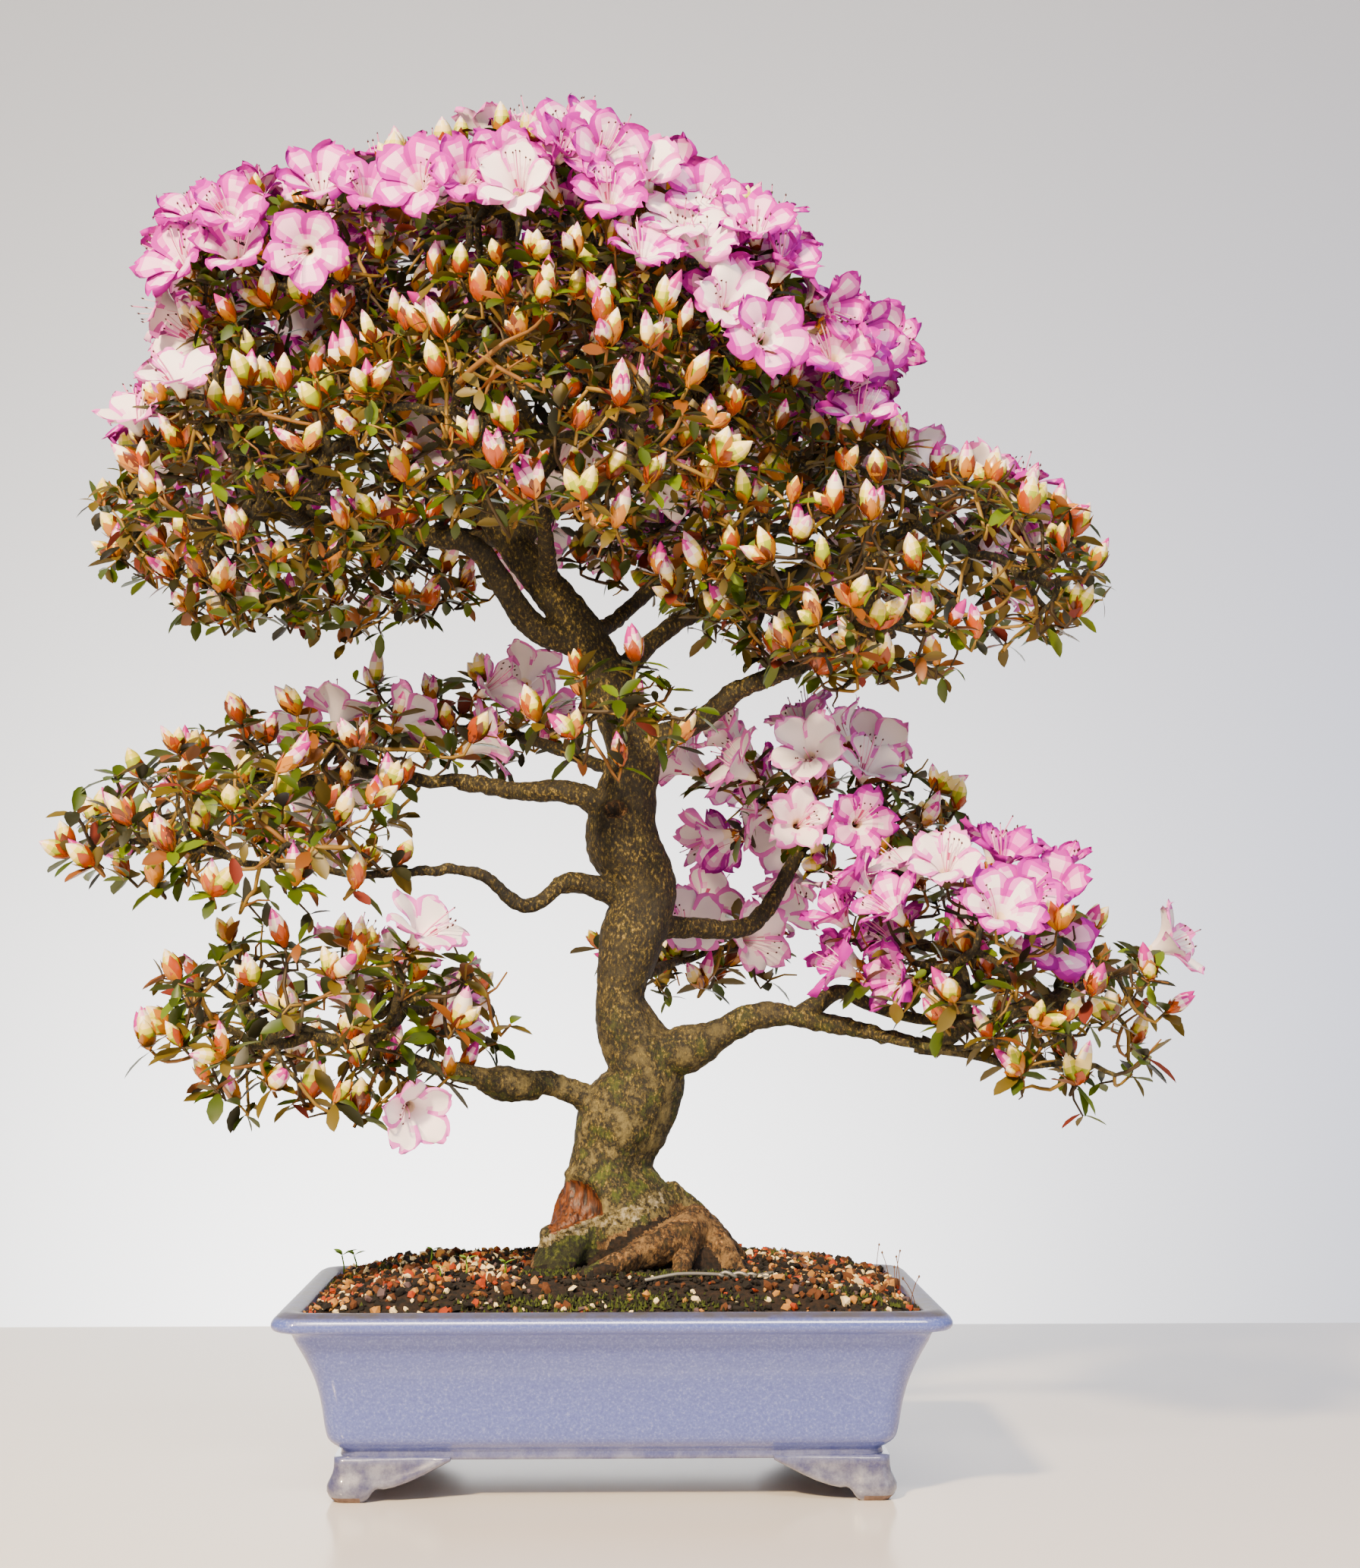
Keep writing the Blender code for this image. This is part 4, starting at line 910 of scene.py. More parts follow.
def relieve_wood(wood, roots):
    """Moves the skin along its normals: lumps, flakes, the carved wound and the pruning scar."""
    mesh = wood.data
    points = (mesh_rows(mesh.vertices, "co") - POT_PLACE) / MM
    normals = mesh_rows(mesh.vertices, "normal")
    # Large lumps near the foot, smaller ones and flakes everywhere
    low = smooth_step(points[:, 2], 320, 150)
    thick = smooth_step(np.abs(points[:, 0]), 60, 25)
    push = lumps(points * (1, 1, 0.6), 21, 5.0) * (0.9 + 1.1 * low) * thick
    push += lumps(points * (1, 1, 0.7), 8, 9.0) * (0.5 + 0.35 * thick)
    push += np.clip(lumps(points * (1, 1, 0.6), 3.4, 2.0), -0.25, 0.4) * 0.9
    # The wound is sunk and rimmed, its fibres fan out; the scar is a ring with a hole
    far, angle, _ = wound_shape(points)
    push -= 2.6 * smooth_step(far, 1.0, 0.72)
    push += 2.6 * np.exp(-(((far - 1.14) / 0.14) ** 2))
    push += 0.6 * np.sin(angle * 30) * smooth_step(far, 1.0, 0.8)
    ring = scar_shape(points)
    push += 2.2 * np.exp(-(((ring - 0.95) / 0.3) ** 2)) - 2.6 * np.exp(-((ring / 0.36) ** 2))
    moved = (points + normals * push[:, None]) * MM + POT_PLACE
    mesh.vertices.foreach_set("co", moved.astype(np.float32).ravel())
    mesh.update()
    # The soil's dark loam also paints shade on the skin: low between the roots and in the scar's hole
    earth = bpy.data.materials["earth_damp_loam_and_shade"]
    barks = [make_bark(), make_root_bark(), make_wound_wood(), make_callus(), earth, make_mossy_bark()]
    for material in barks:
        mesh.materials.append(material)
    slots = wood_slots((mesh_rows(mesh.polygons, "center") - POT_PLACE) / MM, roots)
    mesh.polygons.foreach_set("material_index", slots.astype(np.int32))
    mesh.polygons.foreach_set("use_smooth", np.full(len(slots), True))
    mesh.update()


# Spaces, shoots and twigs


def seen_flat(points):
    """Where points stand on the middle plane, x and height, as seen from the front."""
    points = np.atleast_2d(points)
    nearer = -EYE[1] / (points[:, 1:2] - EYE[1])
    eye = np.array([EYE[0], EYE[2]])
    return eye + (points[:, [0, 2]] - eye) * nearer


def within(places, outline):
    """Which places lie inside a closed outline, by counting its sides to their right."""
    inside = np.zeros(len(places), bool)
    for (x, z), (next_x, next_z) in zip(outline, outline[1:] + outline[:1]):
        crosses = (z > places[:, 1]) != (next_z > places[:, 1])
        at = x + (places[:, 1] - z) * (next_x - x) / ((next_z - z) or 1)
        inside ^= crosses & (places[:, 0] < at)
    return inside


def depths(points, mass):
    """How far out points lie in a mass's space: 0 in its middle, 1 on its surface."""
    turn = math.radians(mass.tilt)
    offset = np.atleast_2d(points) - np.array(mass.centre, float)
    along = offset[:, 0] * math.cos(turn) + offset[:, 2] * math.sin(turn)
    above = offset[:, 2] * math.cos(turn) - offset[:, 0] * math.sin(turn)
    a, b, c = mass.half
    return np.sqrt((along / a) ** 2 + (offset[:, 1] / b) ** 2 + (above / c) ** 2)


def crown_field(points):
    """How deep points lie in the crown: its masses melt into one umbrella where they are close."""
    shares = [np.clip(1 - (depths(points, MASSES[name]) / FIELD_REACH) ** 2, 0, None) for name in CROWN]
    return sum(share**2 for share in shares)


def spaced(points, spacing, kept):
    """Adds to those kept each point that lies at least a spacing from all of them."""
    for point in points:
        if len(kept) == 0 or np.min(np.sum((kept - point) ** 2, axis=1)) > spacing**2:
            kept = np.vstack([kept, point])
    return kept


Tip = namedtuple("Tip", "point direction inner")


def crown_tips():
    """Ends of the crown's shoots by mass: a close outer shell and a looser inside."""
    spots = []
    for name in CROWN:
        mass = MASSES[name]
        cube = rng.uniform(-1.4, 1.4, (CANDIDATES, 3))
        spots.append(np.array(mass.centre, float) + cube * mass.half)
    spots = rng.permutation(np.vstack(spots))
    # Inside the melted masses, and not far out of any one of them
    lift = np.array([0, 0, ORGAN_LIFT])
    field = crown_field(spots + lift)
    edge = (1 - (CROWN_LIMIT / FIELD_REACH) ** 2) ** 2
    nearest = np.min([depths(spots + lift, MASSES[name]) for name in CROWN], axis=0)
    inside = (field > edge) & (nearest < np.interp(spots[:, 2], [500, 600], [CROWN_LIMIT, 1.1]))
    # Inside the outline seen from the front, with room for buds and petals, but none aside low down
    seen = seen_flat(spots)
    rise, aside = ORGAN_REACH
    aside = np.interp(seen[:, 1], [590, 640], [0, aside])
    for side, up in ((0, rise), (-1, 8), (1, 8)):
        reach = np.column_stack([side * aside, np.full(len(aside), up)])
        inside &= within(seen + reach, CROWN_TOP + CROWN_SIDES)
    inside &= np.abs(spots[:, 1]) < DEPTH_LIMIT
    outer = spaced(spots[inside & (field < edge + CROWN_SHELL)], OUTER_SPACING, np.zeros((0, 3)))
    both = spaced(spots[inside & (field >= edge + CROWN_SHELL)], INNER_SPACING, outer)
    # Shoots point to where the masses thin out
    step = 4.0
    slope = np.stack([crown_field(both + lift + np.eye(3)[k] * step) for k in range(3)], axis=1)
    outward = unit(crown_field(both + lift)[:, None] - slope)
    owner = np.argmin([depths(both, MASSES[name]) for name in CROWN], axis=0)
    tips = {name: [] for name in CROWN}
    for k, point in enumerate(both):
        tips[CROWN[owner[k]]].append(Tip(point, outward[k], k >= len(outer)))
    return tips


def pad_tips(name):
    """Ends of a pad's shoots, loosely through its whole space."""
    mass = MASSES[name]
    spots = np.array(mass.centre, float) + rng.uniform(-1, 1, (CANDIDATES, 3)) * np.array(mass.half)
    far = depths(spots + (0, 0, ORGAN_LIFT * 0.8), mass)
    spots = spots[(far < PAD_LIMIT) & (np.abs(spots[:, 1]) < DEPTH_LIMIT)]
    points = spaced(spots, PAD_SPACING, np.zeros((0, 3)))
    outward = unit((points - np.array(mass.centre, float)) / np.array(mass.half))
    return [Tip(point, direction, False) for point, direction in zip(points, outward)]


def halves(group):
    """Splits tips in two across the direction in which they spread most, larger part first."""
    points = np.array([tip.point for tip in group])
    axis = np.linalg.svd(points - points.mean(0), full_matrices=False)[2][0]
    order = np.argsort(points @ axis)
    cut = max(1, len(group) // 2)
    parts = [[group[i] for i in order[:cut]], [group[i] for i in order[cut:]]]
    return sorted(parts, key=len, reverse=True)


def shoot_heading(tip):
    """Shoots rise towards the light and lean out of the mass."""
    return unit(tip.direction * 0.6 + np.array([0, 0, 0.8]))


def grow(start, heading, thick, tips):
    """Twigs from one stem to all tips: each chain runs from its fork to one tip."""
    chains = []

    def climb(chain, heading, group):
        while group:
            here, here_radius = chain[-1]
            target = np.mean([tip.point for tip in group], axis=0)
            if len(group) == 1:
                tip = group[0]
                low = tip.point - shoot_heading(tip) * SHOOT_RISE
                chain.append((low, TWIG_THIN * 1.1))
                chain.append((tip.point, TWIG_THIN))
                chains.append((chain, tip))
                return
            radius = min(here_radius, TWIG_THIN * len(group) ** TWIG_GROWTH)
            gap = np.linalg.norm(target - here)
            joint = here + (target - here) * TWIG_LEAD + unit(heading) * gap * 0.16
            joint = joint + rng.normal(size=3) * (1.5 + 0.05 * gap)
            chain.append((joint, radius))
            heading = joint - here
            group, side = halves(group)
            climb([(joint - unit(heading) * radius * 0.5, radius * 0.85)], heading, side)

    climb([(start, thick), (start + unit(heading) * thick * 1.6, thick * 0.85)], heading, list(tips))
    return chains


def crooked(chain):
    """A twig's middle line and radii, bent at each node and sagging a little between forks."""
    rows = [(*chain[0][0], chain[0][1])]
    for (low, thick), (high, thin) in zip(chain, chain[1:]):
        gap = np.linalg.norm(high - low)
        parts = max(1, round(gap / TWIG_BEND))
        for k in range(1, parts):
            share = k / parts
            sag = TWIG_SAG * gap * 4 * share * (1 - share)
            bend = rng.normal(size=3) * TWIG_CROOK - (0, 0, sag)
            rows.append((*(low + (high - low) * share + bend), thick + (thin - thick) * share))
        rows.append((*high, thin))
    rows = smooth_path(rows, TWIG_STEP)
    return rows[:, :3], np.maximum(rows[:, 3], TWIG_THIN * 0.8)


def add_twig(heaps, twigs, leaves, chain, tip):
    """One chain of a mass: a branch in old bark where it is thick, else a bare twig with spurs."""
    path, radii = crooked(chain)
    if radii[0] > BRANCH_FROM:
        knots = 1 + 0.12 * lumps(path, 9, 2.0)
        thick = radii > BRANCH_FROM * 0.72
        end = max(3, int(np.argmin(thick)) + 1 if not thick.all() else len(path))
        heaps["branches"].add(*tube(path[:end], (radii * knots)[:end], 9), 0)
        path, radii = path[end - 2 :], radii[end - 2 :]
    if len(path) > 1:
        pick = rng.random()
        slot = 1 if pick < 0.45 else 2 if pick < 0.65 and not tip.inner else 0
        twigs.add(*tube(path, radii, 5 if radii[0] > 1.2 else 4), slot)
    for k in range(int(rng.integers(1, 3))):
        add_spur(twigs, leaves, path[int(rng.integers(len(path)))], tip)


def add_spur(twigs, leaves, root, tip):
    """A short side shoot, often with a small whorl of leaves on its end."""
    ahead = unit(rng.normal(size=3) + np.array([0, 0, 0.7]) + tip.direction * 0.5)
    length = rng.uniform(8, 20)
    side = rng.normal(size=3) * 0.16
    path = np.array([root, root + (ahead + side) * length * 0.5, root + ahead * length])
    twigs.add(*tube(path, np.array([0.9, 0.7, 0.55]), 4), int(rng.integers(0, 3)))
    if rng.random() < (0.2 if tip.inner else 0.42):
        add_whorl(leaves, path[-1], ahead, int(rng.integers(2, 5)), tip, 0.8)


# Organs


def leaf_shape(fold, droop):
    """A blade of unit length along +Z with a raised midrib fold, its upper side to +X."""
    spread = LEAF_WIDTH / 2
    stations = ((0.1, 0.35), (0.36, 0.9), (0.66, 1.0), (0.88, 0.55))
    points = [(0, 0, 0)]
    for along, share in stations:
        bend = -droop * along**2
        points += [
            (bend + fold * share * spread, -share * spread, along),
            (bend, 0, along),
            (bend + fold * share * spread, share * spread, along),
        ]
    points.append((-droop, 0, 1.0))
    faces = [(0, 1, 2, -1), (0, 2, 3, -1)]
    for k in range(len(stations) - 1):
        low = 1 + 3 * k
        faces += [(low, low + 3, low + 4, low + 1), (low + 1, low + 4, low + 5, low + 2)]
    last = 1 + 3 * (len(stations) - 1)
    faces += [(last, last + 3, last + 1, -1), (last + 1, last + 3, last + 2, -1)]
    return np.array(points), np.array(faces)


LEAF_SHAPES = [leaf_shape(fold, droop) for fold, droop in LEAF_FORMS]


def lay_leaf(heap, shape, root, ahead, above, length, slot):
    """Puts a leaf of a shape and length at a root, along ahead, with its upper side to above."""
    points, faces = shape
    side = unit(np.cross(ahead, above))
    axes = np.array([np.cross(side, unit(ahead)), side, unit(ahead)]) * length
    heap.add(points @ axes + root, faces, slot)


def add_leaf(heap, root, ahead, tone, size):
    """One leaf with its upper side up; tone picks its colour."""
    shape = LEAF_SHAPES[rng.integers(len(LEAF_SHAPES))]
    length = rng.uniform(*LEAF_LENGTH) * size
    flat = unit(np.cross(ahead, np.cross((0, 0, 1.0), ahead)))
    flat = unit(flat + rng.normal(size=3) * 0.35)
    lay_leaf(heap, shape, root, ahead, flat, length, tone)


def leaf_tone(tip):
    """Outer leaves are green, many lit green as painted light; inner ones olive and dark as painted shade; a
    few bronze.
    """
    return int(rng.choice(len(LEAF_TONES), p=LEAF_TONES_INNER_SHADED if tip.inner else LEAF_TONES))


def add_whorl(leaves, root, axis, count, tip, size):
    """Leaves set round a shoot's end by the golden angle."""
    side = unit(np.cross(axis, (0.2, 0.9, 0.1)))
    other = np.cross(axis, side)
    turn = rng.uniform(*ROUND)
    for k in range(count):
        turn += GOLDEN_TURN + rng.normal() * 0.2
        around = side * math.cos(turn) + other * math.sin(turn)
        ahead = around + axis * rng.uniform(-0.15, 0.7) - np.array([0, 0, rng.uniform(-0.1, 0.25)])
        add_leaf(leaves, root - axis * k * 0.9, unit(ahead), leaf_tone(tip), size)


def bud_shape(swell, length, tint):
    """A closed bud: a spindle of rolled petals with a slow twist, from green foot to pink tip."""
    heights = BUD_PROFILE[:, 0] / BUD_LENGTH * length
    radii = BUD_PROFILE[:, 1] * swell
    angles = np.arange(BUD_SIDES) * 2 * math.pi / BUD_SIDES
    twist = heights[:, None] * 0.045
    folded = 1 + 0.11 * np.cos(4 * (angles + twist)) * smooth_step(heights[:, None], 2, 10)
    around = angles + twist * 0.6
    x = radii[:, None] * folded * np.cos(around)
    y = radii[:, None] * folded * np.sin(around)
    z = np.broadcast_to(heights[:, None], x.shape)
    points = np.stack([x, y, z], axis=-1).reshape(-1, 3)
    along = np.repeat((heights[:-1] + heights[1:]) / 2 / length, BUD_SIDES)
    streak = np.tile(np.where(np.arange(BUD_SIDES) % 2, 0.07, -0.06), len(heights) - 1)
    slots = np.searchsorted(np.array(BUD_BANDS) - tint, along + streak)
    return points, ring_faces(len(heights), BUD_SIDES), slots


def scale_shape(length, swell):
    """One pointed scale that hugs the bud and turns out at its tip."""
    columns = np.array([-1.0, 0.0, 1.0])
    rows = np.array([(0, 0.8, 0.6), (0.35, 1.2, 0.9), (0.7, 0.95, 1.0), (1, 0.06, 1.8)])
    points = []
    for along, share, lift in rows:
        height = along * length
        radius = np.interp(height, BUD_PROFILE[:, 0], BUD_PROFILE[:, 1]) * swell + lift
        for column in columns:
            angle = column * share * 3.7 / max(radius, 2)
            points.append((radius * math.cos(angle), radius * math.sin(angle), height))
    return np.array(points), grid_faces(len(rows), len(columns))


def add_bud(buds, scales, root, ahead, kind, wrapped):
    """A bud with its scales; wrapped is how much of it they cover."""
    swell, length, tint = BUD_KINDS[kind]
    size = rng.uniform(0.76, 1.04) * (1 - 0.12 * wrapped)
    axes = turned(ahead, rng.uniform(*ROUND))[0] * size
    points, faces, slots = bud_shape(swell, length, tint + rng.normal() * 0.04)
    buds.add(points @ axes + root, faces, slots)
    for k in range(3 + round(4 * wrapped)):
        scale_length = rng.uniform(6, 11) + (9 + rng.uniform(-3, 3)) * wrapped
        spin = spin_about(k * GOLDEN_TURN + rng.normal() * 0.2)
        points, faces = scale_shape(scale_length, swell)
        slot = int(rng.choice(3, p=(0.42, 0.4, 0.18)))
        scales.add((points @ spin) @ axes + root, faces, slot)


def petal_points(spin, openness, size, ruffle, phases):
    """One petal of the funnel: a joined tube below and a broad, rounded, ruffled lobe above."""
    along = (1 - (1 - np.linspace(0, 1, PETAL_ROWS)) ** 1.5)[:, None]
    across = np.sin(np.linspace(-1, 1, PETAL_COLUMNS) * math.pi / 2)[None, :]
    length = BLOOM_PETAL * size
    fine = np.linspace(0, 1, 60)
    slope = np.radians(8 + (24 + 60 * openness) * smooth_step(fine, 0.1, 0.85))
    reach = 1.5 * size + np.cumsum(np.sin(slope)) * length / len(fine)
    rise = np.cumsum(np.cos(slope)) * length / len(fine)
    radius = np.interp(along, fine, reach)
    height = np.interp(along, fine, rise)
    lobe = np.where(along > 0.7, np.sqrt(np.maximum(1 - ((along - 0.7) / 0.312) ** 2, 0.04)), 1)
    width = np.minimum(0.78 * radius, 17.5 * size * (0.45 + 0.55 * openness)) * lobe
    theta = spin + across * width / radius
    edge = along**3
    wave = np.sin(across * 7.5 + phases[0]) * np.abs(across) ** 1.5
    wave = wave + 0.5 * np.sin(across * 13 + phases[1]) * np.abs(across)
    height = height + edge * ruffle * (wave * 1.9) - 1.4 * edge * across**2 + 1.7 * along * across
    height = height + 0.9 * (1 - np.abs(across)) * smooth_step(along, 0.25, 0.6)
    radius = radius + edge * ruffle * np.sin(across * 5 + phases[2]) * 1.1 - 1.8 * edge * across**2
    radius = radius - 1.8 * np.exp(-((across / 0.16) ** 2)) * smooth_step(along, 0.86, 1)
    points = np.stack([radius * np.cos(theta), radius * np.sin(theta), height + 0 * theta], axis=-1)
    margin = np.minimum((1 - along) * length, (1 - np.abs(across)) * width + 9 * (along < 0.5))
    return points.reshape(-1, 3), margin, along + 0 * across


def petal_slots(margin, along, vivid, dots):
    """The tint of each face: magenta at the margin in feathered streaks, white within; pale
    blooms are only flushed with pink."""
    at = (margin[:-1, :-1] + margin[1:, 1:] + margin[:-1, 1:] + margin[1:, :-1]) / 4
    up = (along[:-1, :-1] + along[1:, 1:]) / 2
    streaks = rng.normal(size=at.shape[1])[None, :] * 0.4 + rng.normal(size=at.shape) * 0.1
    slots = np.searchsorted(MARGIN_BANDS, (at + streaks) / vivid)
    if vivid < PALE_LIMIT:
        slots = np.maximum(slots, PINK)
    slots = np.where(up < 0.3, THROAT, slots)
    if dots:
        spots = (np.abs(up - 0.42) < 0.14) & (rng.random(at.shape) < 0.3)
        slots = np.where(spots, DOTS, slots)
    return slots.ravel()


def add_bloom(heaps, root, ahead, openness, vivid):
    """An open five-lobed bloom with its stamens, pistil and the scales at its foot."""
    size = rng.uniform(0.98, 1.16)
    ruffle = rng.uniform(1.0, 1.9)
    axes = turned(ahead, rng.uniform(*ROUND))[0]
    for k in range(5):
        spin = math.radians(72 * k + rng.normal() * 3)
        phases = rng.uniform(*ROUND, 3)
        lobe_open = openness + rng.normal() * 0.08
        points, margin, along = petal_points(spin, lobe_open, size, ruffle, phases)
        slots = petal_slots(margin, along, vivid, k == 0)
        heaps["petals"].add(points @ axes + root, grid_faces(PETAL_ROWS, PETAL_COLUMNS), slots)
    for k in range(6):
        add_stamen(heaps["stamens"], root, axes, k, openness, size)
    for k in range(4):
        spin = spin_about(k * 1.6 + rng.normal() * 0.2)
        points, faces = scale_shape(rng.uniform(6, 10), 0.55)
        heaps["scales"].add((points @ spin) @ axes + root, faces, int(rng.integers(3)))


def bloom_chance(point, mass):
    """How likely a shoot is in bloom: the crown's top and rims first, a pad's sunny side."""
    x, y, z = point
    if mass.blooms is None:
        seen_x, seen_z = seen_flat((x, -abs(y), z))[0]
        below = np.interp(seen_x, *zip(*CROWN_TOP)) - seen_z
        band = np.interp(seen_x, [-70, 20], BLOOM_BAND)
        top = smooth_step(below, band + 22, band - 18) if seen_x < 185 else 0.0
        left = 0.6 * smooth_step(-seen_x, 232, 272) * smooth_step(z, 560, 610)
        right = 0.75 * smooth_step(x, 200, 245) * smooth_step(z, 530, 555)
        back = 0.45 * smooth_step(y, 40, 120) * smooth_step(z, 560, 600)
        return max(0.015, top, left, right, back)
    side = (np.array(point) - mass.centre) / mass.half @ unit(mass.toward)
    return mass.blooms * smooth_step(side, -0.25, 0.3)


def add_stamen(stamens, root, axes, k, openness, size):
    """A curved filament with its anther; the last one is the longer pistil."""
    pistil = k == 5
    length = STAMEN_LENGTH * size * (1.2 if pistil else rng.uniform(0.85, 1.08))
    t = np.linspace(0, 1, 6)
    fan = math.radians(-50 + 25 * k) if not pistil else 0.1
    splay = (0.22 + 0.4 * openness) * (0.5 if pistil else 1)
    out = np.array([math.cos(fan), math.sin(fan), 0])
    path = np.outer(t, (0, 0, 1.0)) * length + np.outer(splay * t**1.4 * (1 - 0.35 * t), out) * length
    path[:, 0] += 3.5 * t**3
    points, faces = tube(path, np.full(6, 0.42 if pistil else 0.34), 3)
    stamens.add(points @ axes + root, faces, 1 if pistil else 0)
    tip = path[-1] @ axes + root
    stamens.add(ANTHER @ axes * (0.8 if pistil else 1) + tip, ANTHER_FACES, 2)


def dress_masses():
    """Grows every mass and hangs its leaves, buds and blooms on it."""
    names = ["branches"] + [f"{kind}_{part}" for kind in KINDS for part in ("crown", "pads")]
    heaps = {name: Heap() for name in names}
    blooms = []
    for bough in FORKS:
        path, radii = bough_stations(bough, 5)
        heaps["branches"].add(*tube(path, radii * (1 + 0.12 * lumps(path, 9, 4.0)), 12), 0)
    tips = crown_tips()
    tips |= {name: pad_tips(name) for name in PADS}
    for name, mass in MASSES.items():
        part = "crown" if name in CROWN else "pads"
        own = {kind: heaps[f"{kind}_{part}"] for kind in KINDS} | {"branches": heaps["branches"]}
        if mass.limb == "trunk":
            path, thick = np.array(TRUNK, float)[:, :3], TRUNK[-1][3]
        else:
            path, radii = bough_stations(BOUGHS[mass.limb], 5)
            thick = radii[-1]
        heading = unit(path[-1] - path[-2])
        chains = grow(path[-1] - heading * 4, heading, thick * 0.95, tips[name])
        size = PAD_LEAVES if part == "pads" else 1.0
        for chain, tip in chains:
            add_twig(own, own["twigs"], own["leaves"], chain, tip)
            add_whorl(own["leaves"], tip.point, shoot_heading(tip), int(rng.integers(3, 7)), tip, size)
            if not tip.inner:
                dress_tip(own, mass, tip, blooms, BUDDED[part])
    return heaps


def dress_tip(heaps, mass, tip, blooms, budded):
    """One shoot's end: a bloom where the mass flowers, elsewhere often one to three buds."""
    up = np.array([0, 0, 1.0])
    sun = np.array([0, -0.3 if tip.point[1] < 30 else 0.1, 0.45])
    chance = bloom_chance(tip.point, mass)
    if rng.random() < chance:
        pale = mass.pale if mass.blooms is not None or chance > 0.5 else 0.9
        for stray in BLOOM_TRIES:
            ahead = unit(tip.direction * 0.8 + sun + rng.normal(size=3) * stray)
            centre = tip.point + ahead * BLOOM_MIDDLE
            gap = min([np.linalg.norm(centre - other) for other in blooms], default=1e3)
            seen = seen_flat(centre + up * ORGAN_LIFT)
            fits = mass.blooms is not None or within(seen, CROWN_TOP + CROWN_SIDES)[0]
            if gap > BLOOM_ROOM and fits and is_inside(tip.point + ahead * BLOOM_RIM):
                blooms.append(centre)
                vivid = rng.uniform(*(PALE_MARGIN if rng.random() < pale else VIVID_MARGIN))
                openness = rng.uniform(0.45, 0.85) if rng.random() < 0.8 else rng.uniform(0.15, 0.45)
                add_bloom(heaps, tip.point, ahead, openness, vivid)
                return
    if rng.random() > budded:
        return
    base = unit(tip.direction * 0.45 + up * 0.95 + rng.normal(size=3) * 0.16)
    count = int(rng.choice([1, 2, 3], p=[0.34, 0.38, 0.28]))
    for k in range(count):
        ahead = unit(base + rng.normal(size=3) * (0.3 if count > 1 else 0.05))
        if is_inside(tip.point + ahead * BUD_LENGTH):
            wrapped = float(np.clip(rng.beta(1.25, 0.62) + (0.1 if k else 0), 0, 1))
            kind = int(rng.choice(len(BUD_KINDS), p=BUD_SHARES))
            add_bud(heaps["buds"], heaps["scales"], tip.point, ahead, kind, wrapped)


def is_inside(point):
    """Whether a point keeps to the plant's box."""
    place = np.asarray(point) * MM + POT_PLACE
    low, high = np.array(cad_box[0]), np.array(cad_box[1])
    return bool((place > low).all() and (place < high).all())


def make_foliage():
    """Twigs, leaves, buds, scales, petals and stamens, each kind in one piece for the crown and
    one for the pads, and the branches that carry them."""
    heaps = dress_masses()
    finishes = {
        "twigs": make_twig_materials(),
        "leaves": make_leaf_materials(),
        "buds": make_bud_materials(),
        "scales": make_scale_materials(),
        "petals": make_petal_materials(),
        "stamens": make_stamen_materials(),
    }
    make_piece("branches", heaps["branches"], [bpy.data.materials["bark_old_azalea"]], True, MASSES)
    for kind, materials in finishes.items():
        make_piece(f"{kind}_crown", heaps[f"{kind}_crown"], materials, True, CROWN)
        make_piece(f"{kind}_pads", heaps[f"{kind}_pads"], materials, True, PADS)


# Pot


def rounded(half_x, half_y, corner, parts):
    """A level ring round a rectangle with round corners, anticlockwise, in x and y."""
    ring = []
    for quarter, (sx, sy) in enumerate(((1, 1), (-1, 1), (-1, -1), (1, -1))):
        for angle in np.radians(90 * quarter + 90 * np.arange(parts + 1) / parts):
            x = sx * (half_x - corner) + corner * math.cos(angle)
            ring.append((x, sy * (half_y - corner) + corner * math.sin(angle)))
    return np.array(ring)


def make_pot(glaze, clay):
    """The pot's glazed wall as one skin, from the foot band over the lip and down inside, and
    its bare underside."""
    profile = smooth_path([(inset, height, 0) for inset, height in POT_OUTSIDE + POT_INSIDE], 1.6)
    rings = []
    for inset, height, _ in profile:
        corner = max(POT_CORNER - inset * 0.12, 6)
        ring = rounded(POT_LENGTH / 2 - inset, POT_DEPTH / 2 - inset, corner, 12)
        rings.append(np.column_stack([ring, np.full(len(ring), height)]))
    count = len(rings[0])
    points = np.vstack(rings)
    uneven = lumps(points, 45, 8.0)[:, None] * 0.5 * smooth_step(points[:, 2:], 100, 92)
    points = points + uneven * unit(points * (1, 1, 0))
    heap = Heap()
    heap.add(points, ring_faces(len(rings), count), 0)
    ring = np.arange(count)
    underside = np.vstack([points[:count], [[0, 0, POT_UNDERSIDE]]])
    heap.add(underside, cap_faces((ring + 1) % count, ring, count), 1)
    make_piece("pot_glazed_body", heap, [glaze, clay], True, ["pot_body"])


def foot_section(x, y, outward):
    """One upright section through a foot, from its top outside, down and up its inner side."""
    distance = max(x, y)
    low = np.interp(distance, FOOT_DISTANCES, FOOT_HEIGHTS)
    top = POT_UNDERSIDE + 2
    toe = 1 - smooth_step(distance, 15, 25)
    out = []
    for share in np.linspace(1, 0, 9):
        height = low + (top - low) * share
        ball = 4.2 * math.exp(-(((height - 7.5) / 6.5) ** 2)) * toe
        curl = 1.6 * math.exp(-(((height - low - 2.5) / 3) ** 2)) * (1 - toe)
        tuck = 1.8 * (1 - min((height - low) / 2.2, 1)) ** 2
        out.append(np.array([x, y, height]) + np.array([*outward, 0]) * (ball + curl - tuck))
    inner_x = x if abs(outward[1]) > 0.99 and x > FOOT_THICK else FOOT_THICK
    inner_y = y if abs(outward[0]) > 0.99 and y > FOOT_THICK else FOOT_THICK
    out.append(np.array([inner_x, inner_y, low + 0.2]))
    out.append(np.array([inner_x, inner_y, top]))
    return out


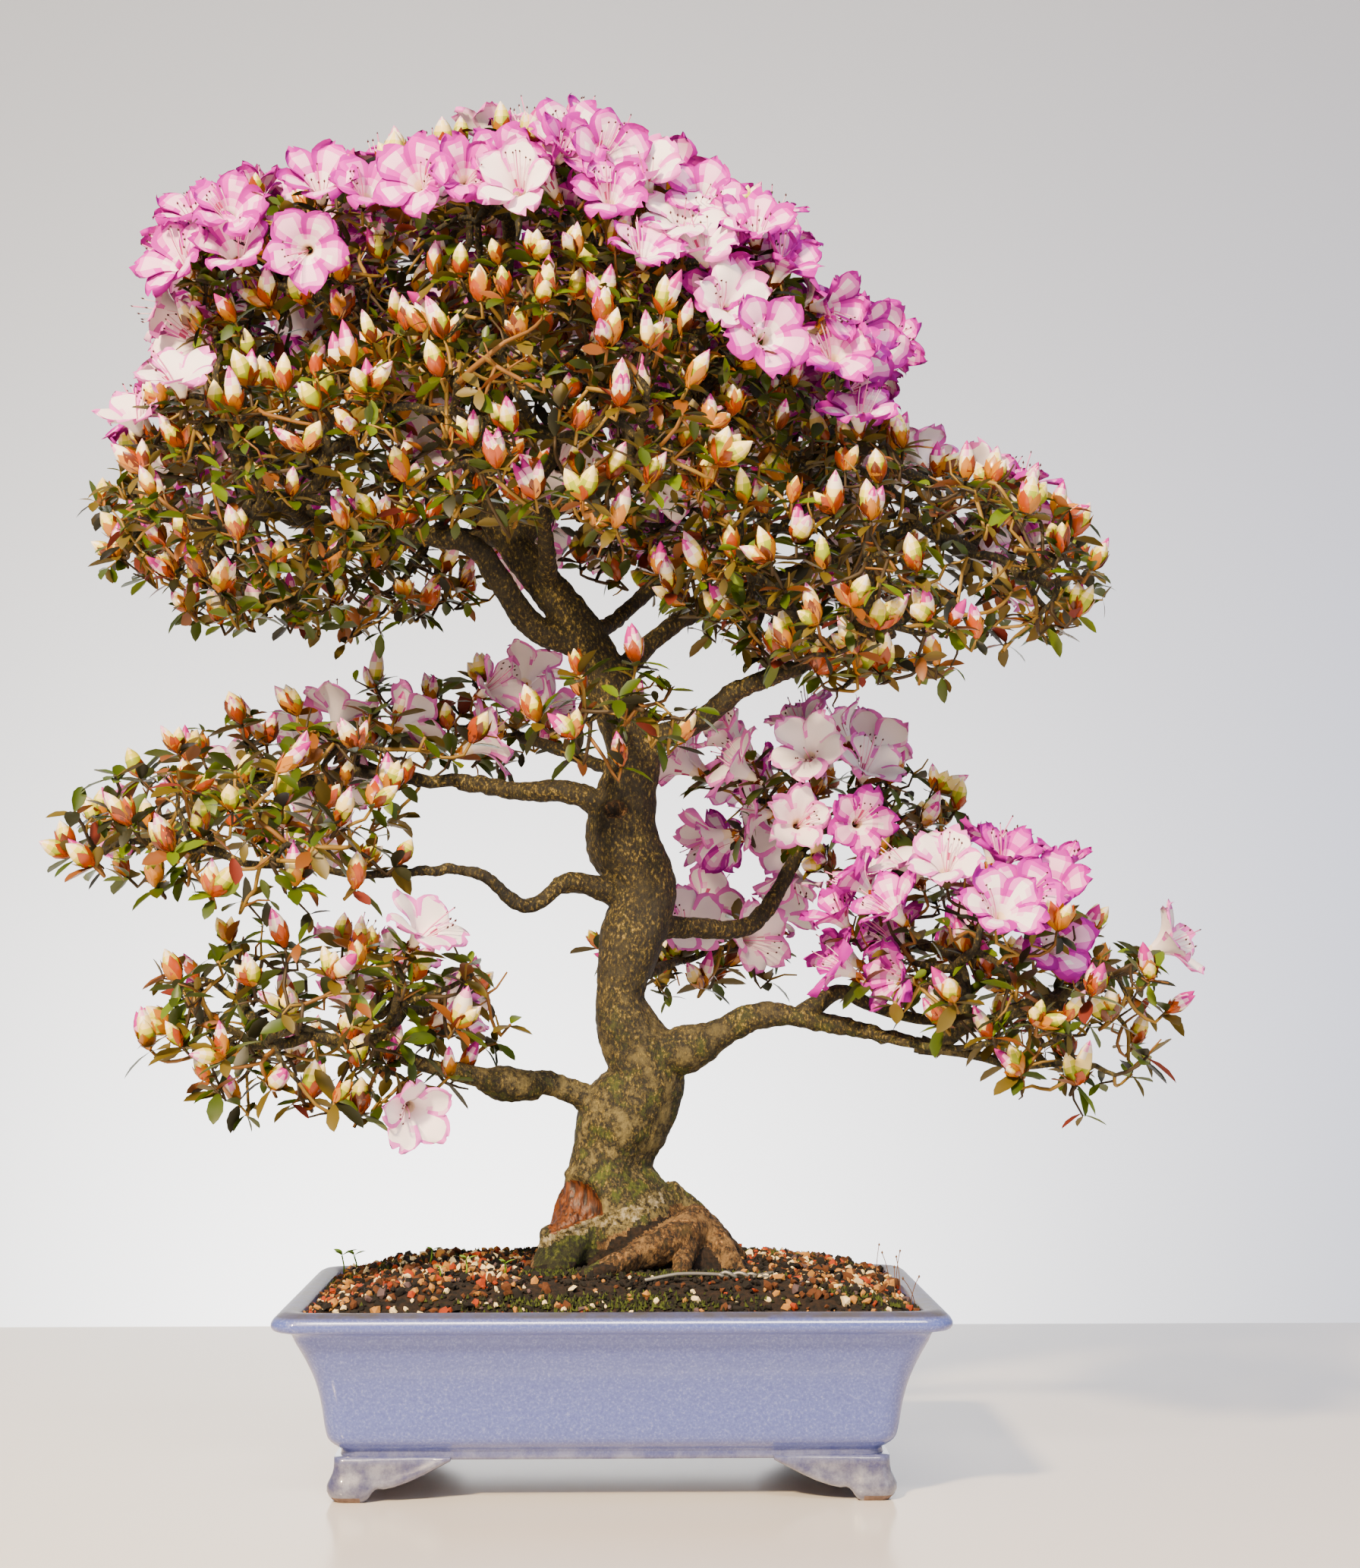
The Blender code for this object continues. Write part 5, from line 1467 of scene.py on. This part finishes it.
def make_feet(glaze, clay):
    """Four cloud-shaped bracket feet, each round a corner with a ball toe and two arched arms."""
    arm = np.r_[np.linspace(FOOT_ARM, 28, 14), np.linspace(26.5, 7, 13)]
    stations = [((x, 0), (0, -1)) for x in arm]
    for angle in np.radians(np.linspace(0, 90, 9)):
        outward = (-math.sin(angle), -math.cos(angle))
        stations.append(((6 + 6 * outward[0], 6 + 6 * outward[1]), outward))
    stations += [((0, y), (-1, 0)) for y in reversed(arm)]
    sections = np.array([foot_section(x, y, outward) for (x, y), outward in stations])
    faces = ring_faces(len(sections), sections.shape[1])
    points = sections.reshape(-1, 3)
    bare = points[faces].mean(axis=1)[:, 2] < BARE_SOLE
    corner = np.array([POT_LENGTH / 2 - FOOT_INSET, POT_DEPTH / 2 - FOOT_INSET, 0])
    names = ("foot_front_left", "foot_front_right", "foot_back_right", "foot_back_left")
    for k, (name, signs) in enumerate(zip(names, ((-1, -1), (1, -1), (1, 1), (-1, 1)))):
        heap = Heap()
        heap.add(points @ spin_about(math.radians(90 * k)) + corner * (*signs, 0), faces, bare.astype(int))
        make_piece(f"pot_{name}", heap, [glaze, clay], True, [name])


# Soil and what lies on it


def soil_height(x, y):
    """The soil's surface: low at the wall, banked up in two slopes and heaped a little at the roots."""
    edge_x, edge_y = POT_LENGTH / 2 - 15.5, POT_DEPTH / 2 - 15.5
    mound_x, mound_y = MOUND_HALF
    inward = np.minimum((edge_x - np.abs(x)) / (edge_x - mound_x), (edge_y - np.abs(y)) / (edge_y - mound_y))
    bank = np.interp(inward, [0, 0.5, 1], [0, 0.62, 1])
    heap = SOIL_HEAP * np.exp(-(((x - 14) / 50) ** 2) - ((y / 40) ** 2))
    return SOIL_EDGE + (GROUND - SOIL_EDGE) * bank + heap


def make_soil(earth):
    """The bed of fine earth under the granules."""
    columns, rows = 116, 80
    half_x, half_y = POT_LENGTH / 2 - 15.2, POT_DEPTH / 2 - 15.2
    x, y = np.meshgrid(np.linspace(-half_x, half_x, columns), np.linspace(-half_y, half_y, rows))
    flat = np.column_stack([x.ravel(), y.ravel(), np.zeros(x.size)])
    height = soil_height(flat[:, 0], flat[:, 1]) - 0.8 + lumps(flat, 9, 1.0) * 1.3
    height = height + lumps(flat, 3.5, 6.0) * 0.8
    heap = Heap()
    heap.add(np.column_stack([flat[:, :2], height]), grid_faces(rows, columns), 0)
    make_piece("soil_earth_bed", heap, [earth], True, ["soil"])


def icosahedron():
    """The twelve corners and twenty faces of a rough granule."""
    golden = (1 + 5**0.5) / 2
    points = []
    for a in (-1, 1):
        for b in (-golden, golden):
            points += [(a, b, 0), (0, a, b), (b, 0, a)]
    points = unit(points)
    faces = []
    near = np.linalg.norm(points[:, None] - points[None], axis=2) < 1.2
    for i in range(12):
        for j in range(i + 1, 12):
            for k in range(j + 1, 12):
                if near[i, j] and near[j, k] and near[i, k]:
                    normal = np.cross(points[j] - points[i], points[k] - points[i])
                    faces.append((i, j, k, -1) if normal @ points[i] > 0 else (i, k, j, -1))
    return points, np.array(faces)


def scatter(count, spot=None):
    """Places on the soil: all over, or gathered round a spot of x, y and two half sizes."""
    half_x, half_y = POT_LENGTH / 2 - 17, POT_DEPTH / 2 - 17
    if spot:
        x = np.clip(spot[0] + rng.normal(size=count) * spot[2], -half_x, half_x)
        y = np.clip(spot[1] + rng.normal(size=count) * spot[3], -half_y, half_y)
    else:
        x = rng.uniform(-half_x, half_x, count)
        y = rng.uniform(-half_y, half_y, count)
    return np.column_stack([x, y, soil_height(x, y)])


def make_grains():
    """Mixed granules of about 1 to 8 mm; round the roots they sink into dark earth."""
    points, faces = icosahedron()
    heap = Heap()
    places = scatter(GRAINS)
    near_trunk = np.hypot((places[:, 0] - 24) / 88, (places[:, 1] + 26) / 96)
    for place, near in zip(places, near_trunk):
        dark = near < 0.9 + rng.normal() * 0.14
        size = rng.uniform(*(GRAIN_SMALL if dark or rng.random() < 0.62 else GRAIN_LARGE))
        tones = GRAIN_TONES_DARK if dark else GRAIN_TONES
        slot = int(rng.choice(len(tones), p=tones))
        rough = points * (1 + rng.normal(size=(len(points), 1)) * 0.22) * rng.uniform(0.55, 1.35, 3) * size
        axes = turned(rng.normal(size=3), rng.uniform(*ROUND))[0]
        lift = rng.uniform(-0.2, 0.6) * size
        heap.add(rough @ axes + place + (0, 0, lift), faces, slot)
    make_piece("soil_granules", heap, make_grain_materials(), False, ["soil"])


def make_moss():
    """Cushions of moss: short leafy tufts packed over the damp places."""
    heap = Heap()
    faces = [(0, 1, 3, -1), (1, 2, 3, -1), (2, 0, 3, -1)]
    third = 2.1
    for x, y, spread_x, spread_y, count in MOSS_SPOTS:
        for place in scatter(count, (x, y, spread_x, spread_y)):
            tall = rng.uniform(1.0, 2.6)
            wide = rng.uniform(0.8, 1.5)
            turns = rng.uniform(0, third) + np.arange(3) * third
            base = [(wide * math.cos(turn), wide * math.sin(turn), -0.5) for turn in turns]
            top = (rng.normal() * 0.6, rng.normal() * 0.6, tall)
            heap.add(np.array([*base, top]) + place + (0, 0, 0.6), faces, int(rng.random() < 0.55))
    make_piece("soil_moss", heap, make_moss_materials(), False, ["soil"])


def make_wire():
    """The anchoring wire on the soil right of the roots: two strands twisted at their knot.
    Its metal is dull and grey, with a faint sheen."""
    metal = new_material("wire_weathered_aluminium", "#8E8C86", 0.5, Metallic=0.7)
    heap = Heap()
    for first, last, side, away in WIRE_STRANDS:
        x = np.linspace(first, last, int(last - first) * 2)
        twist = 1.5 * smooth_step(x, 59, 64) * smooth_step(x, 83, 77) * side
        turn = (x - 60) / 2.6
        parted = smooth_step(x, 80, 92)
        y = -86 + (x - 20) * 0.25 + twist * np.cos(turn) + away * parted
        z = soil_height(x, y) + 2.2 + 1.1 * np.sin((x - 20) / 13) + twist * np.sin(turn)
        z = z - 1.5 * (1 - away / 8) * parted
        heap.add(*tube(np.column_stack([x, y, z]), np.full(len(x), 1.2), 6), 0)
    make_piece("anchor_wire", heap, [metal], True, ["soil"])


def make_sprouts():
    """Seedlings on the left, with thin satin leaves, and dry brown moss stalks at the right edge."""
    greens = [new_material("seedling_leaf", "#6E9A10", 0.5), new_material("moss_stalk", "#6A4A30", 0.7)]
    heap = Heap()
    for x, y, tall in SEEDLINGS:
        foot = np.array([x, y, float(soil_height(x, y))])
        top = foot + (rng.normal() * 1.5, rng.normal() * 1.5, tall)
        heap.add(*tube(np.array([foot, (foot + top) / 2 + (0.6, 0, 0), top]), np.full(3, 0.5), 4), 0)
        for turn in (0.3, 2.2, 4.3):
            ahead = np.array([math.cos(turn), math.sin(turn), 0.45])
            lay_leaf(heap, LEAF_SHAPES[0], top, ahead, (0, 0, 1.0), tall * 0.8, 0)
    for _ in range(MOSS_STALKS):
        foot = scatter(1, (164, -20, 3, 50))[0]
        tall = rng.uniform(14, 24)
        bend = np.array([rng.normal() * 4, rng.normal() * 3, 0])
        path = np.array([foot + bend * t**2 + (0, 0, tall * t) for t in np.linspace(0, 1, 6)])
        heap.add(*tube(path, np.full(len(path), 0.3), 3), 1)
        heap.add(ANTHER * 0.9 + path[-1], ANTHER_FACES, 1)
    make_piece("soil_sprouts", heap, greens, True, ["soil"])


# Stage, light and camera


def make_stage():
    """A pale lacquered floor with a far edge, which mirrors the pot softly, and a plain matt
    backdrop behind it."""
    lacquer = new_material("stage_pale_lacquer", "#ECE6DF", 0.16)
    paint = new_material("stage_matt_paint", "#DEDEDE", 0.9)
    sheets = (
        ("stage_floor", lacquer, (-STAGE_HALF, 0), (FLOOR_EDGE, 0)),
        ("stage_floor_edge", lacquer, (FLOOR_EDGE, 0), (FLOOR_EDGE, -FLOOR_THICK)),
        ("stage_backdrop", paint, (BACKDROP, BACKDROP_FOOT), (BACKDROP, STAGE_HALF)),
    )
    for name, material, start, end in sheets:
        corners = [(-STAGE_HALF, *start), (STAGE_HALF, *start), (STAGE_HALF, *end), (-STAGE_HALF, *end)]
        mesh = bpy.data.meshes.new(name)
        mesh.from_pydata([tuple(c * MM for c in corner) for corner in corners], [], [(0, 1, 2, 3)])
        mesh.materials.append(material)
        sheet = bpy.data.objects.new(name, mesh)
        bpy.context.scene.collection.objects.link(sheet)


def add_light(name, place, aim, size, power, color):
    """An area light: a disk of one size, or a rectangle of two."""
    light = bpy.data.lights.new(name, "AREA")
    if len(size) == 2:
        light.shape = "RECTANGLE"
        light.size_y = size[1]
    else:
        light.shape = "DISK"
    light.size = size[0]
    light.energy = power
    light.color = linear(color)[:3]
    lamp = bpy.data.objects.new(name, light)
    lamp.location = place
    lamp.rotation_euler = (Vector(aim) - Vector(place)).to_track_quat("-Z", "Y").to_euler()
    bpy.context.scene.collection.objects.link(lamp)


def light_scene():
    """Soft studio light: a warm key from the upper left, a strip that draws a line on the pot's
    lip, a cool fill, and two glows on the backdrop from below and beside the floor."""
    middle = (0, 0, 0.45)
    add_light("key", (-1.2, -2.3, 2.1), middle, (0.32,), 285, "#FFE0B2")
    add_light("strip", (0, -1.9, 2.4), (0, -0.1, 0.1), (1.3, 0.2), 50, "#FFF4E6")
    add_light("fill", (2.2, -1.9, 1.0), middle, (1.6,), 10, "#D6E4FF")
    add_light("backdrop_glow", (-0.4, 2.9, -0.7), (-0.4, 4.5, 0.2), (1.6,), 200, "#FFFFFF")
    add_light("backdrop_blue", (2.8, 2.6, 0.4), (1.7, 4.5, 0.5), (1.0,), 34, "#5C9CFF")
    world = bpy.data.worlds.new("studio")
    world.use_nodes = True
    sky = world.node_tree.nodes["Background"]
    sky.inputs["Color"].default_value = linear("#F2F4FF")
    sky.inputs["Strength"].default_value = 0.48
    bpy.context.scene.world = world


def place_camera():
    """The photograph's camera: level across, turned a little to the right and tilted up."""
    camera = bpy.data.cameras.new("camera")
    camera.sensor_fit = "VERTICAL"
    camera.sensor_height = FILM_HEIGHT
    camera.lens = EYE_LENS
    eye = bpy.data.objects.new("camera", camera)
    eye.location = Vector(np.array(EYE) * MM + POT_PLACE)
    turn, tilt = math.radians(EYE_TURN), math.radians(EYE_TILT)
    aim = Vector((math.sin(turn) * math.cos(tilt), math.cos(turn) * math.cos(tilt), math.sin(tilt)))
    eye.rotation_euler = aim.to_track_quat("-Z", "Y").to_euler()
    bpy.context.scene.collection.objects.link(eye)
    bpy.context.scene.camera = eye


def build():
    """Builds the plant from the ground up, then what stands round it."""
    glaze = make_glaze()
    clay = make_bare_clay()
    make_pot(glaze, clay)
    make_feet(glaze, clay)
    make_soil(make_soil_earth())
    make_grains()
    make_moss()
    make_wire()
    make_sprouts()
    make_wood()
    make_foliage()
    make_stage()
    light_scene()
    place_camera()


build()
